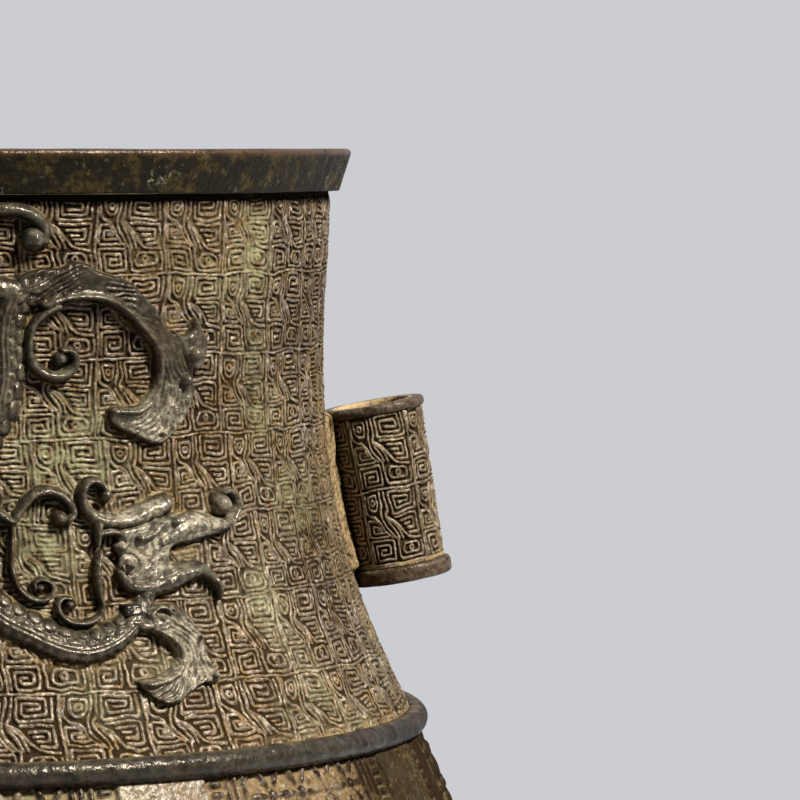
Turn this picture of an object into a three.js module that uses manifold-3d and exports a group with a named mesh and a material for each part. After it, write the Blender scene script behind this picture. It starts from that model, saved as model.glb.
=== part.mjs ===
// A bronze zun with a tall neck, two tube handles and raised dragons, put together from its castings.
// Millimetres, +Z up, standing on Z = 0, with the handles along X.
import * as THREE from 'three';
import { mergeVertices } from 'three/addons/utils/BufferGeometryUtils.js';
import Module from 'manifold-3d';

// Clearance between castings that fit into or lie on each other
const CLEARANCE = 0.3;

// Heights of the stacked castings
const FOOT_HEIGHT = 34;
const BELLY_HEIGHT = 134.5;
const NECK_HEIGHT = 98.5;
const RIM_HEIGHT = 8;

// Wall thickness of the castings
const FOOT_WALL = 3.8;
const BELLY_WALL = 3.6;
const NECK_WALL = 3.6;

// Foot: a flared ring with a plain band along its lower edge
const FOOT_TOP_RADIUS = 72;
const FOOT_HOLLOW_RADIUS = 69.5;
const FOOT_FLARE_RADIUS = 78.5;
const FOOT_BAND_STEP = 1.4;
const FOOT_BAND_HEIGHT = 8;
const FOOT_HOLLOW_DROP = 7;
const FOOT_LEDGE_HEIGHT = 4;
const FOOT_LEDGE_WIDTH = 5;

// Base plate, laid in the top of the foot and held down by the belly
const BASE_RADIUS = 64;
const BASE_THICKNESS = 3.4;
const BASE_LAP = 2.5;

// Belly
const BELLY_RADIUS = 107.5;
const BELLY_WIDEST_HEIGHT = 78;
const BELLY_LOWER_SLOPE = 52;
const BELLY_TOP_PULL = 18;
const BELLY_WIDE_PULL_UP = 20;
const BELLY_WIDE_PULL_DOWN = 38;
const BELLY_FOOT_PULL = 25;

// Belly panels: plain raised strips, each with a channel and a border along both sides, and sunk flower
// panels between them. Angles are from the middle of a strip, and the first strip's from the front to +X.
const STRIPS = 9;
const FIRST_STRIP = 25.6;
const STRIP_HALF = 5.35;
const BORDER_FROM = 8;
const BORDER_TO = 10.5;
const PANEL_EDGE = 0.2;
const PANEL_DEPTH = 0.5;

// The seam ring covers the top of the belly, which is turned down there to make its bed
const RING_BED = 0.3;
const SHOWN_SHARE = 0.93;

// Neck, its lap joint with the belly and its spigot for the rim
const SEAM_RADIUS = 91.5;
const SEAM_SLOPE = 28;
const NECK_WAIST_RADIUS = 74.3;
const NECK_WAIST_HEIGHT = 69.5;
const NECK_TOP_RADIUS = 75.6;
const NECK_SEAM_PULL = 28;
const NECK_WAIST_PULL = 26;
const NECK_TOP_PULL = 9;
const LAP_STEP = 1.9;
const LAP_DEPTH = 5;
const SPIGOT_STEP = 1.8;
const SPIGOT_HEIGHT = 5;

// Rim collar
const RIM_OVERHANG = 1.9;
const RIM_FLARE = 2.1;
const LIP_ROUND = 1.4;

// Half-round ring over the seam of neck and belly
const RING_HALF_WIDTH = 2.7;
const RING_RISE = 2.3;

// Tube handles: a tube that widens upwards, leaning in along the neck, with a collar at each end.
// The sink is how far its closest point is let into the curve of the neck.
const TUBE_TOP_RADIUS = 9.35;
const TUBE_BOTTOM_RADIUS = 8.55;
const TUBE_BORE_RADIUS = 7.2;
const TUBE_LENGTH = 28.9;
const TOP_COLLAR_RADIUS = 10;
const TOP_COLLAR_THICKNESS = 2;
const BOTTOM_COLLAR_RADIUS = 9.65;
const BOTTOM_COLLAR_THICKNESS = 2.4;
const COLLAR_EDGE = 0.5;
const HANDLE_RISE = 41.9;
const HANDLE_TILT = 10.1;
const HANDLE_SINK = 0.5;
const SADDLE_WIDTH = 10;

// Dragons: strokes drawn on the unrolled neck, to the right of the front axis.
// Each point is [distance round the neck, height over the seam, stroke width].
const DRAWING_RADIUS = 75;
const DRAWING_HEIGHT = 98.5;
const RELIEF_RISE = 2.3;
const RELIEF_CREST = 0.42;
const STROKES = {
  trunk: [[39, 33, 6], [36.5, 28, 5], [32.5, 23.5, 5.4], [25.6, 20.7, 6.6], [16.8, 23.9, 7.2],
    [8, 31, 6.8], [4.7, 42, 6.6], [7.5, 54, 6.8], [13.2, 62.5, 7], [14, 74, 7.4], [18.5, 82, 6.6]],
  tail: [[16, 81, 5.4], [9.5, 83.5, 4.2], [6, 89, 3.2], [9.5, 95, 3], [15.4, 95.9, 3], [19.8, 93, 3],
    [19.2, 90.8, 4.6]],
  hind_leg: [[15, 81.5, 5], [24, 83.4, 7], [32, 82, 6], [39, 76.6, 6.4], [44.6, 70.4, 6.8], [46.3, 64, 8.6],
    [43.4, 58.4, 8], [37.2, 58.8, 5.4], [33, 60.2, 3]],
  heel_hook: [[46, 71.6, 4], [51, 76, 1.8], [52.6, 73, 3.4], [51.8, 69.6, 4.4], [50, 66.6, 3.4]],
  hind_curl: [[19.5, 78.8, 2.2], [17.8, 73, 2.2], [18.9, 68.4, 2.5], [22, 67.2, 2.6], [25.6, 68, 2.5],
    [26.2, 70.8, 2.1], [23.8, 70.6, 3]],
  shoulder_curl: [[6, 45.8, 3], [13.5, 42.6, 2], [16, 45.2, 2.2], [20.7, 47.4, 2.3], [24.7, 45, 2.2],
    [22.9, 42.6, 3]],
  chest_curl: [[13.6, 43, 1.7], [13.9, 35, 1.6], [15.7, 30.2, 1.7], [18.4, 28.8, 1.7], [20.4, 30.6, 1.6],
    [18.4, 31.2, 2.2]],
  horn: [[31.2, 46.4, 2.8], [28.9, 48.8, 2.1], [26.9, 46, 2.3], [29.2, 42.6, 2.8], [34.4, 42, 3.2],
    [40.4, 43.7, 3.8], [43.8, 44.8, 3.8]],
  mane: [[29.3, 42.4, 2.4], [28.3, 35.5, 2], [28, 28.4, 2], [25.2, 25.2, 1.7], [21.5, 26.4, 1.7],
    [22, 29, 1.5], [23.4, 28, 2.2]],
  brow: [[43.8, 42.4, 3], [41.4, 40.2, 2.8], [36.9, 38.7, 3]],
  snout: [[37, 35, 7], [42.6, 37.6, 6.6], [48, 39.9, 5.2], [53, 40.2, 4], [57, 41, 2.8], [58.9, 43.3, 2.3],
    [57.6, 45.6, 2.3], [55.4, 43.8, 4.6]],
  jaw: [[32.9, 33.6, 2.8], [34.8, 31.2, 4], [38.5, 30.6, 5], [45, 32.4, 4.4], [49.4, 32.2, 3.4],
    [51.6, 28, 1.4]],
  foreleg: [[33.6, 24.6, 4.4], [38.9, 24.6, 5.6], [42.6, 20.4, 6], [43.6, 15.5, 6.6], [40, 12.2, 5],
    [36.4, 12.4, 3.8], [33.2, 14.4, 1.8]],
};
const STROKE_STEP = 6.4;

// Facets
const SHELL_SEGMENTS = 40;
const HANDLE_SEGMENTS = 24;
const OUTER_STEPS = 6;
const INNER_STEPS = 3;
const SHORT_STEPS = 2;
const LOWER_STEPS = 5;
const UPPER_STEPS = 3;
const PANEL_FLOOR_STEPS = 3;
const RING_STEPS = 6;
const FINE_STEPS = 200;

// Vertices closer than this are one vertex
const MERGE_DISTANCE = 1e-4;

// Bronze: dark patina, warmer on the worn rim and on the dirt along the handle seams
const PATINA = { color: 0x4a4134, roughness: 0.5, metalness: 0.85 };
const GROUND = { color: 0x77664b, roughness: 0.6, metalness: 0.7 };
const RELIEF = { color: 0x3b3d37, roughness: 0.4, metalness: 0.9 };
const SOLDER = { color: 0x9a8350, roughness: 0.7, metalness: 0.5 };

// Levels of the joints between the stacked castings
const BELLY_LEVEL = FOOT_HEIGHT;
const SEAM_LEVEL = BELLY_LEVEL + BELLY_HEIGHT;
const RIM_LEVEL = SEAM_LEVEL + NECK_HEIGHT;

const wasm = await Module();
wasm.setup();
const zun = new THREE.Group();

function radians(degrees) {
  return THREE.MathUtils.degToRad(degrees);
}

function point(radius, level) {
  return new THREE.Vector2(radius, level);
}

// A curve of radius against level, pulled along two end directions given in degrees from straight up
function wallCurve(start, startSlope, startPull, end, endSlope, endPull) {
  const startAim = point(-Math.sin(radians(startSlope)), Math.cos(radians(startSlope)));
  const endAim = point(-Math.sin(radians(endSlope)), Math.cos(radians(endSlope)));
  const startHandle = start.clone().addScaledVector(startAim, startPull);
  const endHandle = end.clone().addScaledVector(endAim, -endPull);
  return new THREE.CubicBezierCurve(start, startHandle, endHandle, end);
}

function shifted(points, radiusChange) {
  return points.map((p) => point(p.x + radiusChange, p.y));
}

// Points of a quarter round, in the order from one tangent point to the other
function quarterRound(centre, radius, fromDegrees, toDegrees) {
  const arc = new THREE.EllipseCurve(
    centre.x, centre.y, radius, radius, radians(fromDegrees), radians(toDegrees), toDegrees < fromDegrees);
  return arc.getPoints(SHORT_STEPS);
}

function closed(profile) {
  return [...profile, profile[0].clone()];
}

// A profile of radius and level, walked up its outside, turned round Z
function revolve(profile, segments) {
  return new THREE.LatheGeometry(profile, segments).rotateX(Math.PI / 2);
}

function solidOf(geometry) {
  const bare = geometry.clone();
  bare.deleteAttribute('normal');
  bare.deleteAttribute('uv');
  const merged = mergeVertices(bare, MERGE_DISTANCE);
  const mesh = new wasm.Mesh({
    numProp: 3,
    vertProperties: Float32Array.from(merged.attributes.position.array),
    triVerts: Uint32Array.from(merged.index.array),
  });
  return new wasm.Manifold(mesh);
}

function geometryOf(solid) {
  const mesh = solid.getMesh();
  const geometry = new THREE.BufferGeometry();
  geometry.setAttribute('position', new THREE.BufferAttribute(mesh.vertProperties, 3));
  geometry.setIndex(new THREE.BufferAttribute(mesh.triVerts, 1));
  return geometry;
}

// Skin a row of equal rings of points into one closed body
function loft(rings) {
  const sides = rings[0].length;
  const positions = rings.flat().flatMap((p) => p.toArray());
  const index = [];
  for (let ring = 0; ring < rings.length - 1; ring += 1) {
    for (let side = 0; side < sides; side += 1) {
      const a = ring * sides + side;
      const b = ring * sides + ((side + 1) % sides);
      index.push(a, a + sides, b, b, a + sides, b + sides);
    }
  }
  const last = (rings.length - 1) * sides;
  for (let side = 1; side < sides - 1; side += 1) {
    index.push(0, side, side + 1, last, last + side + 1, last + side);
  }
  const geometry = new THREE.BufferGeometry();
  geometry.setAttribute('position', new THREE.Float32BufferAttribute(positions, 3));
  geometry.setIndex(index);
  return geometry;
}

function place(name, geometry, finish, level = 0, turn = 0) {
  const mesh = new THREE.Mesh(geometry, new THREE.MeshStandardMaterial(finish));
  mesh.name = name;
  mesh.position.z = level;
  mesh.rotation.z = turn;
  zun.add(mesh);
}

// Foot

const footBandRadius = FOOT_FLARE_RADIUS + FOOT_BAND_STEP;
const basePocketRadius = BASE_RADIUS + CLEARANCE;
const ledgeRadius = basePocketRadius - FOOT_LEDGE_WIDTH;
const ledgeTop = FOOT_HEIGHT - BASE_THICKNESS;
const ledgeBottom = ledgeTop - FOOT_LEDGE_HEIGHT;

function footGeometry() {
  const hollowLevel = FOOT_HEIGHT - FOOT_HOLLOW_DROP;
  const flare = new THREE.CubicBezierCurve(
    point(FOOT_FLARE_RADIUS, FOOT_BAND_HEIGHT),
    point(FOOT_FLARE_RADIUS, (FOOT_BAND_HEIGHT + hollowLevel) / 2),
    point(FOOT_HOLLOW_RADIUS, (FOOT_BAND_HEIGHT + hollowLevel) / 2),
    point(FOOT_HOLLOW_RADIUS, hollowLevel)).getPoints(INNER_STEPS);
  const outside = [
    point(footBandRadius, 0),
    point(footBandRadius, FOOT_BAND_HEIGHT),
    ...flare,
    point(FOOT_TOP_RADIUS, FOOT_HEIGHT),
  ];
  const inside = shifted(flare, -FOOT_WALL).reverse().filter((p) => p.y < ledgeBottom);
  const seat = [
    point(basePocketRadius, FOOT_HEIGHT),
    point(basePocketRadius, ledgeTop),
    point(ledgeRadius, ledgeTop),
    point(ledgeRadius, ledgeBottom),
    point(FOOT_HOLLOW_RADIUS - FOOT_WALL, ledgeBottom),
  ];
  const bottom = point(FOOT_FLARE_RADIUS - FOOT_WALL, 0);
  return revolve(closed([...outside, ...seat, ...inside, bottom]), SHELL_SEGMENTS);
}

place('foot_ring', footGeometry(), PATINA);

// Base plate

const basePlate = [
  point(0, 0),
  point(BASE_RADIUS, 0),
  point(BASE_RADIUS, BASE_THICKNESS),
  point(0, BASE_THICKNESS),
];
place('base_plate', revolve(basePlate, SHELL_SEGMENTS), PATINA, ledgeTop);

// Belly

// Stations round one strip and the flower panel after it: degrees from its middle and the share of the depth
function panelStations() {
  const channel = (STRIP_HALF + BORDER_FROM) / 2;
  const floor = BORDER_TO + PANEL_EDGE;
  const half = [[STRIP_HALF, 0], [channel, 1], [BORDER_FROM, 0], [BORDER_TO, 0], [floor, 1]];
  const otherHalf = half.map(([degrees, sunk]) => [-degrees, sunk]).reverse();
  const floorStep = (360 / STRIPS - 2 * floor) / PANEL_FLOOR_STEPS;
  const floorInside = Array.from(
    { length: PANEL_FLOOR_STEPS - 1 }, (_, i) => [floor + (i + 1) * floorStep, 1]);
  return [...otherHalf, [0, 0], ...half, ...floorInside];
}

// One level of the belly's outside, sunk by a depth in the channels and panels
function bellyRing(p, depth) {
  const stations = panelStations();
  const strips = Array.from({ length: STRIPS }, (_, strip) => stations.map(([degrees, sunk]) => {
    const angle = radians(FIRST_STRIP + (strip * 360) / STRIPS + degrees);
    const radius = p.x - sunk * depth;
    return new THREE.Vector3(radius * Math.sin(angle), -radius * Math.cos(angle), p.y);
  }));
  return strips.flat().reverse();
}

function bellySolid() {
  const widest = point(BELLY_RADIUS, BELLY_WIDEST_HEIGHT);
  const lower = wallCurve(
    point(FOOT_TOP_RADIUS, 0), -BELLY_LOWER_SLOPE, BELLY_FOOT_PULL, widest, 0, BELLY_WIDE_PULL_DOWN);
  const upper = wallCurve(
    widest, 0, BELLY_WIDE_PULL_UP, point(SEAM_RADIUS, BELLY_HEIGHT), SEAM_SLOPE, BELLY_TOP_PULL);
  const shownUpper = Array.from(
    { length: UPPER_STEPS }, (_, i) => upper.getPoint((SHOWN_SHARE * (i + 1)) / UPPER_STEPS));
  const panelLevels = [...lower.getPoints(LOWER_STEPS).slice(1), ...shownUpper];
  const outside = solidOf(loft([
    bellyRing(lower.getPoint(0), 0),
    ...panelLevels.map((p) => bellyRing(p, PANEL_DEPTH)),
    bellyRing(point(SEAM_RADIUS - RING_BED, BELLY_HEIGHT), 0),
  ]));

  const socketRadius = SEAM_RADIUS - LAP_STEP + CLEARANCE;
  const socketFloor = BELLY_HEIGHT - LAP_DEPTH - CLEARANCE;
  const floorRadius = BASE_RADIUS - BASE_LAP;
  const wall = [...lower.getPoints(INNER_STEPS), ...upper.getPoints(INNER_STEPS).slice(1)];
  const hollow = shifted(wall, -BELLY_WALL)
    .filter((p) => p.y < socketFloor - BELLY_WALL && p.y > BELLY_WALL && p.x > floorRadius + BELLY_WALL);
  const inside = solidOf(revolve([
    point(0, -CLEARANCE),
    point(floorRadius, -CLEARANCE),
    point(floorRadius, BELLY_WALL),
    ...hollow,
    point(socketRadius, socketFloor),
    point(socketRadius, BELLY_HEIGHT + CLEARANCE),
    point(0, BELLY_HEIGHT + CLEARANCE),
  ], SHELL_SEGMENTS));
  return outside.subtract(inside);
}

place('belly_shell', geometryOf(bellySolid()), GROUND, BELLY_LEVEL);

// Neck

const neckLower = wallCurve(
  point(SEAM_RADIUS, 0), SEAM_SLOPE, NECK_SEAM_PULL,
  point(NECK_WAIST_RADIUS, NECK_WAIST_HEIGHT), 0, NECK_WAIST_PULL);
const neckUpper = new THREE.CubicBezierCurve(
  point(NECK_WAIST_RADIUS, NECK_WAIST_HEIGHT),
  point(NECK_WAIST_RADIUS, NECK_WAIST_HEIGHT + NECK_TOP_PULL),
  point(NECK_TOP_RADIUS, NECK_HEIGHT - NECK_TOP_PULL),
  point(NECK_TOP_RADIUS, NECK_HEIGHT));
const neckFine = [...neckLower.getPoints(FINE_STEPS), ...neckUpper.getPoints(FINE_STEPS).slice(1)];

// Outer radius of the neck at a level over the seam
function neckRadius(level) {
  const above = neckFine.findIndex((p) => p.y >= level);
  if (above === 0) {
    return neckFine[0].x;
  }
  if (above < 0) {
    return neckFine[neckFine.length - 1].x;
  }
  const low = neckFine[above - 1];
  const high = neckFine[above];
  return THREE.MathUtils.mapLinear(level, low.y, high.y, low.x, high.x);
}

function neckOutline(steps) {
  return [...neckLower.getPoints(steps), ...neckUpper.getPoints(SHORT_STEPS).slice(1)];
}

function neckGeometry() {
  const inside = shifted(neckOutline(INNER_STEPS), -NECK_WALL).reverse();
  const spigotRadius = NECK_TOP_RADIUS - SPIGOT_STEP;
  const lapRadius = SEAM_RADIUS - LAP_STEP;
  const spigot = [
    point(spigotRadius, NECK_HEIGHT),
    point(spigotRadius, NECK_HEIGHT + SPIGOT_HEIGHT),
    point(NECK_TOP_RADIUS - NECK_WALL, NECK_HEIGHT + SPIGOT_HEIGHT),
  ];
  const lap = [
    point(SEAM_RADIUS - NECK_WALL, -LAP_DEPTH),
    point(lapRadius, -LAP_DEPTH),
    point(lapRadius, 0),
  ];
  return revolve(closed([...neckOutline(OUTER_STEPS), ...spigot, ...inside, ...lap]), SHELL_SEGMENTS);
}

place('neck_shell', neckGeometry(), GROUND, SEAM_LEVEL);

// Rim collar

function rimGeometry() {
  const boreRadius = NECK_TOP_RADIUS - SPIGOT_STEP + CLEARANCE;
  const lipRadius = NECK_TOP_RADIUS - NECK_WALL;
  const lowerRadius = NECK_TOP_RADIUS + RIM_OVERHANG;
  const lipLevel = RIM_HEIGHT - LIP_ROUND;
  const outerRound = quarterRound(point(lowerRadius + RIM_FLARE - LIP_ROUND, lipLevel), LIP_ROUND, 0, 90);
  const innerRound = quarterRound(point(lipRadius + LIP_ROUND, lipLevel), LIP_ROUND, 90, 180);
  const profile = [
    point(boreRadius, 0),
    point(lowerRadius, 0),
    ...outerRound,
    ...innerRound,
    point(lipRadius, SPIGOT_HEIGHT + CLEARANCE),
    point(boreRadius, SPIGOT_HEIGHT + CLEARANCE),
  ];
  return revolve(closed(profile), SHELL_SEGMENTS);
}

place('rim_collar', rimGeometry(), PATINA, RIM_LEVEL);

// Ring over the seam, half round, lying along the slope of the wall

function ringGeometry() {
  const upSlope = point(-Math.sin(radians(SEAM_SLOPE)), Math.cos(radians(SEAM_SLOPE)));
  const outward = point(Math.cos(radians(SEAM_SLOPE)), Math.sin(radians(SEAM_SLOPE)));
  const centre = point(SEAM_RADIUS, 0).addScaledVector(outward, CLEARANCE);
  const round = Array.from({ length: RING_STEPS + 1 }, (_, i) => {
    const angle = (Math.PI * i) / RING_STEPS;
    return centre.clone()
      .addScaledVector(upSlope, -RING_HALF_WIDTH * Math.cos(angle))
      .addScaledVector(outward, RING_RISE * Math.sin(angle));
  });
  return revolve(closed(round), SHELL_SEGMENTS);
}

place('neck_ring', ringGeometry(), RELIEF, SEAM_LEVEL);

// Handles

// The neck grown by the clearance, which cuts the handle pieces to its curve
function neckCutter() {
  const outline = shifted(neckOutline(OUTER_STEPS), CLEARANCE);
  const top = point(0, NECK_HEIGHT);
  return solidOf(revolve([point(0, 0), ...outline, top], SHELL_SEGMENTS));
}

const collarStack = TOP_COLLAR_THICKNESS + BOTTOM_COLLAR_THICKNESS + 2 * CLEARANCE;
const handleHalf = (TUBE_LENGTH + collarStack) / 2;

// Distance of the middle of the tube from the axis that lets its closest point into the neck by the sink
function handleReach() {
  const lean = Math.sin(radians(HANDLE_TILT));
  const rise = Math.cos(radians(HANDLE_TILT));
  const needs = Array.from({ length: FINE_STEPS + 1 }, (_, i) => {
    const along = THREE.MathUtils.lerp(-handleHalf, handleHalf, i / FINE_STEPS);
    const radius = THREE.MathUtils.lerp(TUBE_BOTTOM_RADIUS, TUBE_TOP_RADIUS, i / FINE_STEPS);
    return neckRadius(HANDLE_RISE + along * rise) + along * lean + radius / rise;
  });
  return Math.max(...needs) - HANDLE_SINK;
}

function collarGeometry(outerRadius, thickness) {
  const profile = [
    point(TUBE_BORE_RADIUS, 0),
    point(outerRadius - COLLAR_EDGE, 0),
    point(outerRadius, COLLAR_EDGE),
    point(outerRadius, thickness - COLLAR_EDGE),
    point(outerRadius - COLLAR_EDGE, thickness),
    point(TUBE_BORE_RADIUS, thickness),
  ];
  return revolve(closed(profile), HANDLE_SEGMENTS);
}

function tubeGeometry() {
  const profile = [
    point(TUBE_BORE_RADIUS, 0),
    point(TUBE_BOTTOM_RADIUS, 0),
    point(TUBE_TOP_RADIUS, TUBE_LENGTH),
    point(TUBE_BORE_RADIUS, TUBE_LENGTH),
  ];
  return revolve(closed(profile), HANDLE_SEGMENTS);
}

// The strip that joins the tube to the neck: what lies between them behind the tube
function saddleSolid(lean, cutter) {
  const length = TUBE_LENGTH - 2 * CLEARANCE;
  const block = new THREE.BoxGeometry(TUBE_TOP_RADIUS, SADDLE_WIDTH, length)
    .translate(-TUBE_TOP_RADIUS / 2 - NECK_WALL, 0, CLEARANCE + length / 2);
  const tubeRoom = new THREE.CylinderGeometry(
    TUBE_TOP_RADIUS + CLEARANCE, TUBE_BOTTOM_RADIUS + CLEARANCE, TUBE_LENGTH, HANDLE_SEGMENTS)
    .rotateX(Math.PI / 2)
    .translate(0, 0, TUBE_LENGTH / 2);
  return solidOf(block.applyMatrix4(lean)).subtract(solidOf(tubeRoom.applyMatrix4(lean))).subtract(cutter);
}

function handlePieces() {
  const cutter = neckCutter();
  const tubeStart = BOTTOM_COLLAR_THICKNESS + CLEARANCE - handleHalf;
  const lean = new THREE.Matrix4()
    .makeTranslation(handleReach(), 0, HANDLE_RISE)
    .multiply(new THREE.Matrix4().makeRotationY(radians(-HANDLE_TILT)));
  const leanAt = (along) => lean.clone().multiply(new THREE.Matrix4().makeTranslation(0, 0, along));
  const cut = (geometry, along) => solidOf(geometry.applyMatrix4(leanAt(along))).subtract(cutter);
  const bottomCollar = collarGeometry(BOTTOM_COLLAR_RADIUS, BOTTOM_COLLAR_THICKNESS);
  const topCollar = collarGeometry(TOP_COLLAR_RADIUS, TOP_COLLAR_THICKNESS);
  return [
    ['handle_tube', cut(tubeGeometry(), tubeStart), GROUND],
    ['handle_bottom_collar', cut(bottomCollar, -handleHalf), PATINA],
    ['handle_top_collar', cut(topCollar, handleHalf - TOP_COLLAR_THICKNESS), PATINA],
    ['handle_saddle', saddleSolid(leanAt(tubeStart), cutter), SOLDER],
  ];
}

for (const [name, solid, finish] of handlePieces()) {
  place(`${name}_right`, geometryOf(solid), finish, SEAM_LEVEL);
  place(`${name}_left`, geometryOf(solid), finish, SEAM_LEVEL, Math.PI);
}

// Dragons

// A point of the drawing wrapped onto the neck, standing off it by a rise along the radius
function wrap(along, height, rise) {
  const angle = along / DRAWING_RADIUS;
  const level = (height * NECK_HEIGHT) / DRAWING_HEIGHT;
  const radius = neckRadius(level) + CLEARANCE + rise;
  return new THREE.Vector3(radius * Math.sin(angle), -radius * Math.cos(angle), level);
}

// A raised stroke of the drawing: a rounded section of changing width led along a smooth line
function strokeSolid(points) {
  const path = new THREE.CatmullRomCurve3(points.map((p) => new THREE.Vector3(...p)), false, 'centripetal');
  const steps = Math.max(OUTER_STEPS, Math.round(path.getLength() / STROKE_STEP));
  const rings = Array.from({ length: steps + 1 }, (_, i) => {
    const at = path.getPointAt(i / steps);
    const aim = path.getTangentAt(i / steps).setZ(0).normalize();
    const rise = Math.min(RELIEF_RISE, at.z);
    const crest = RELIEF_CREST / 2;
    const across = (share, height) => wrap(
      at.x - aim.y * share * at.z, at.y + aim.x * share * at.z, height * rise);
    return [across(-0.5, 0), across(-crest, 1), across(crest, 1), across(0.5, 0)];
  });
  return solidOf(loft(rings));
}

function dragonSolid() {
  return Object.values(STROKES).map(strokeSolid).reduce((whole, stroke) => whole.add(stroke));
}

const MIRROR_X = new THREE.Matrix4().makeScale(-1, 1, 1);

function mirrored(geometry) {
  const copy = geometry.clone().applyMatrix4(MIRROR_X);
  const index = copy.index.array;
  for (let corner = 0; corner < index.length; corner += 3) {
    [index[corner + 1], index[corner + 2]] = [index[corner + 2], index[corner + 1]];
  }
  return copy;
}

const rightDragon = geometryOf(dragonSolid());
const leftDragon = mirrored(rightDragon);
for (const [face, turn] of [['front', 0], ['back', Math.PI]]) {
  place(`dragon_${face}_right`, rightDragon, RELIEF, SEAM_LEVEL, turn);
  place(`dragon_${face}_left`, leftDragon, RELIEF, SEAM_LEVEL, turn);
}

export default zun;
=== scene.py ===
"""A bronze zun dressed for its picture: fret ground, raised dragons, flower panels and an old patina.

Every piece is a mesh worked out here in millimetres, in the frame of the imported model, and set down in
metres. A place on the vessel is given by the distance round the neck, measured on a girth of GIRTH_RADIUS
from the front axis towards the right handle, and by the height over the table.
"""
import math

import bpy
import numpy as np
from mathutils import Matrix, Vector


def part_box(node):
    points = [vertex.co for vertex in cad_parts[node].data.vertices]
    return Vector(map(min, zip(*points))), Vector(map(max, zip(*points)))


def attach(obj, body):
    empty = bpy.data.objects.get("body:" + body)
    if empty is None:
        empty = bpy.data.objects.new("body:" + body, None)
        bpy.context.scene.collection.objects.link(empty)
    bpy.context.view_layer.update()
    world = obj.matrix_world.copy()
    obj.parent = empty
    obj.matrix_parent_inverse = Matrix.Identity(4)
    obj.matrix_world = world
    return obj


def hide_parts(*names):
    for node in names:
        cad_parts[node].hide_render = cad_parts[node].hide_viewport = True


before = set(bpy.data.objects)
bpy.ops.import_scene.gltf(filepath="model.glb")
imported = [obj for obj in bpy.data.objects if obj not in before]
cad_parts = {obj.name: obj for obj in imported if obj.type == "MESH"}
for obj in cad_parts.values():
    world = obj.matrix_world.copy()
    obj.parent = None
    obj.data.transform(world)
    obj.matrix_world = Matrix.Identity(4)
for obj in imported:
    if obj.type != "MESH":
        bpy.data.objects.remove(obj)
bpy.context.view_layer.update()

MM = 0.001
FULL_TURN = 2 * math.pi
GIRTH_RADIUS = 75.0
NOISE_START = 1000.0


def levels(node):
    """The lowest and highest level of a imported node, in millimetres."""
    low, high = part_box(node)
    return low[2] / MM, high[2] / MM


# Levels of the castings, taken from the frame
FOOT_BOTTOM, BELLY_BOTTOM = levels("foot_ring")
SEAM = levels("belly_shell")[1]
RIM_BOTTOM, RIM_TOP = levels("rim_collar")

# Walls of the castings
FOOT_TOP_RADIUS = 72.0
FOOT_HOLLOW_RADIUS = 69.5
FOOT_FLARE_RADIUS = 78.5
FOOT_BAND_STEP = 1.4
FOOT_BAND_HEIGHT = 8.0
FOOT_HOLLOW_DROP = 7.0
FOOT_EDGE_ROUND = 0.6
FOOT_WALL = 3.8
FOOT_FLARE_POINTS = 40
# The two corners of the foot's head, as (inset, drop)
FOOT_HEAD = ((0.2, 0.6), (0.4, 0.0))
# The cone inside the foot: how far its ends lie under the narrow part and over the band
FOOT_CONE = (2.0, 4.0)
# What is lower than this stands flat on the table
FOOT_FLAT = 0.25
LEDGE_WIDTH = 5.0
LEDGE_DROP = 7.4
BASE_RADIUS = 64.0
BASE_THICKNESS = 3.4
BASE_GAP = 0.2
BASE_CHAMFER = 0.3
BASE_MIDDLE = 0.2
BASE_SIDES = 240
BASE_ROWS = 60
BELLY_RADIUS = 107.15
BELLY_WIDEST = BELLY_BOTTOM + 78.0
BELLY_WALL = 3.6
BELLY_INSET = 0.05
SEAM_RADIUS = 91.5
SEAM_SLOPE = math.radians(28)
NECK_WAIST_RADIUS = 74.3
NECK_WAIST = SEAM + 69.5
NECK_TOP_RADIUS = 75.6
NECK_WALL = 3.6
RIM_OVERHANG = 1.9
RIM_FLARE = 2.1
RIM_SEAT_INSET = 0.4
RIM_SEAT_RISE = 0.3
RIM_INSIDE_RISE = 2.0
LIP_ROUND = 1.0
RIM_ROUND = 0.5
RING_HALF_WIDTH = 2.45
RING_RISE = 2.5
RING_SUNK = 0.6
RING_POINTS = 40
INSIDE_STEP = 8.0
INSIDE_MASK = 0.3

# How far the curves of neck and belly hold their direction at their ends, and their numbers of points
NECK_FOOT_PULL = 28.0
NECK_WAIST_PULL = 26.0
NECK_TOP_PULL = 9.0
BELLY_FOOT_SLOPE = math.radians(-52)
BELLY_FOOT_PULL = 25.0
BELLY_LOW_PULL = 38.0
BELLY_HIGH_PULL = 20.0
BELLY_TOP_PULL = 18.0
LONG_CURVE = 300
SHORT_CURVE = 120

# Handles
HANDLE_REACH = 86.6
HANDLE_LEVEL = SEAM + 41.9
HANDLE_TILT = math.radians(10.1)
HANDLE_STEPS = {"right": 0.2, "left": 0.3}
TUBE_TOP_RADIUS = 9.35
TUBE_BOTTOM_RADIUS = 8.55
TUBE_BORE_RADIUS = 7.2
TUBE_LENGTH = 28.7
TUBE_TILES = 5
TUBE_TILE_START = 0.53
TUBE_INSET = 0.03
# How high the earth packed round the tube's foot is: where it ends and where it is full
TUBE_FOOT = (0.9, 0.5)
TUBE_FOOT_LINE = 0.9
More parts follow.
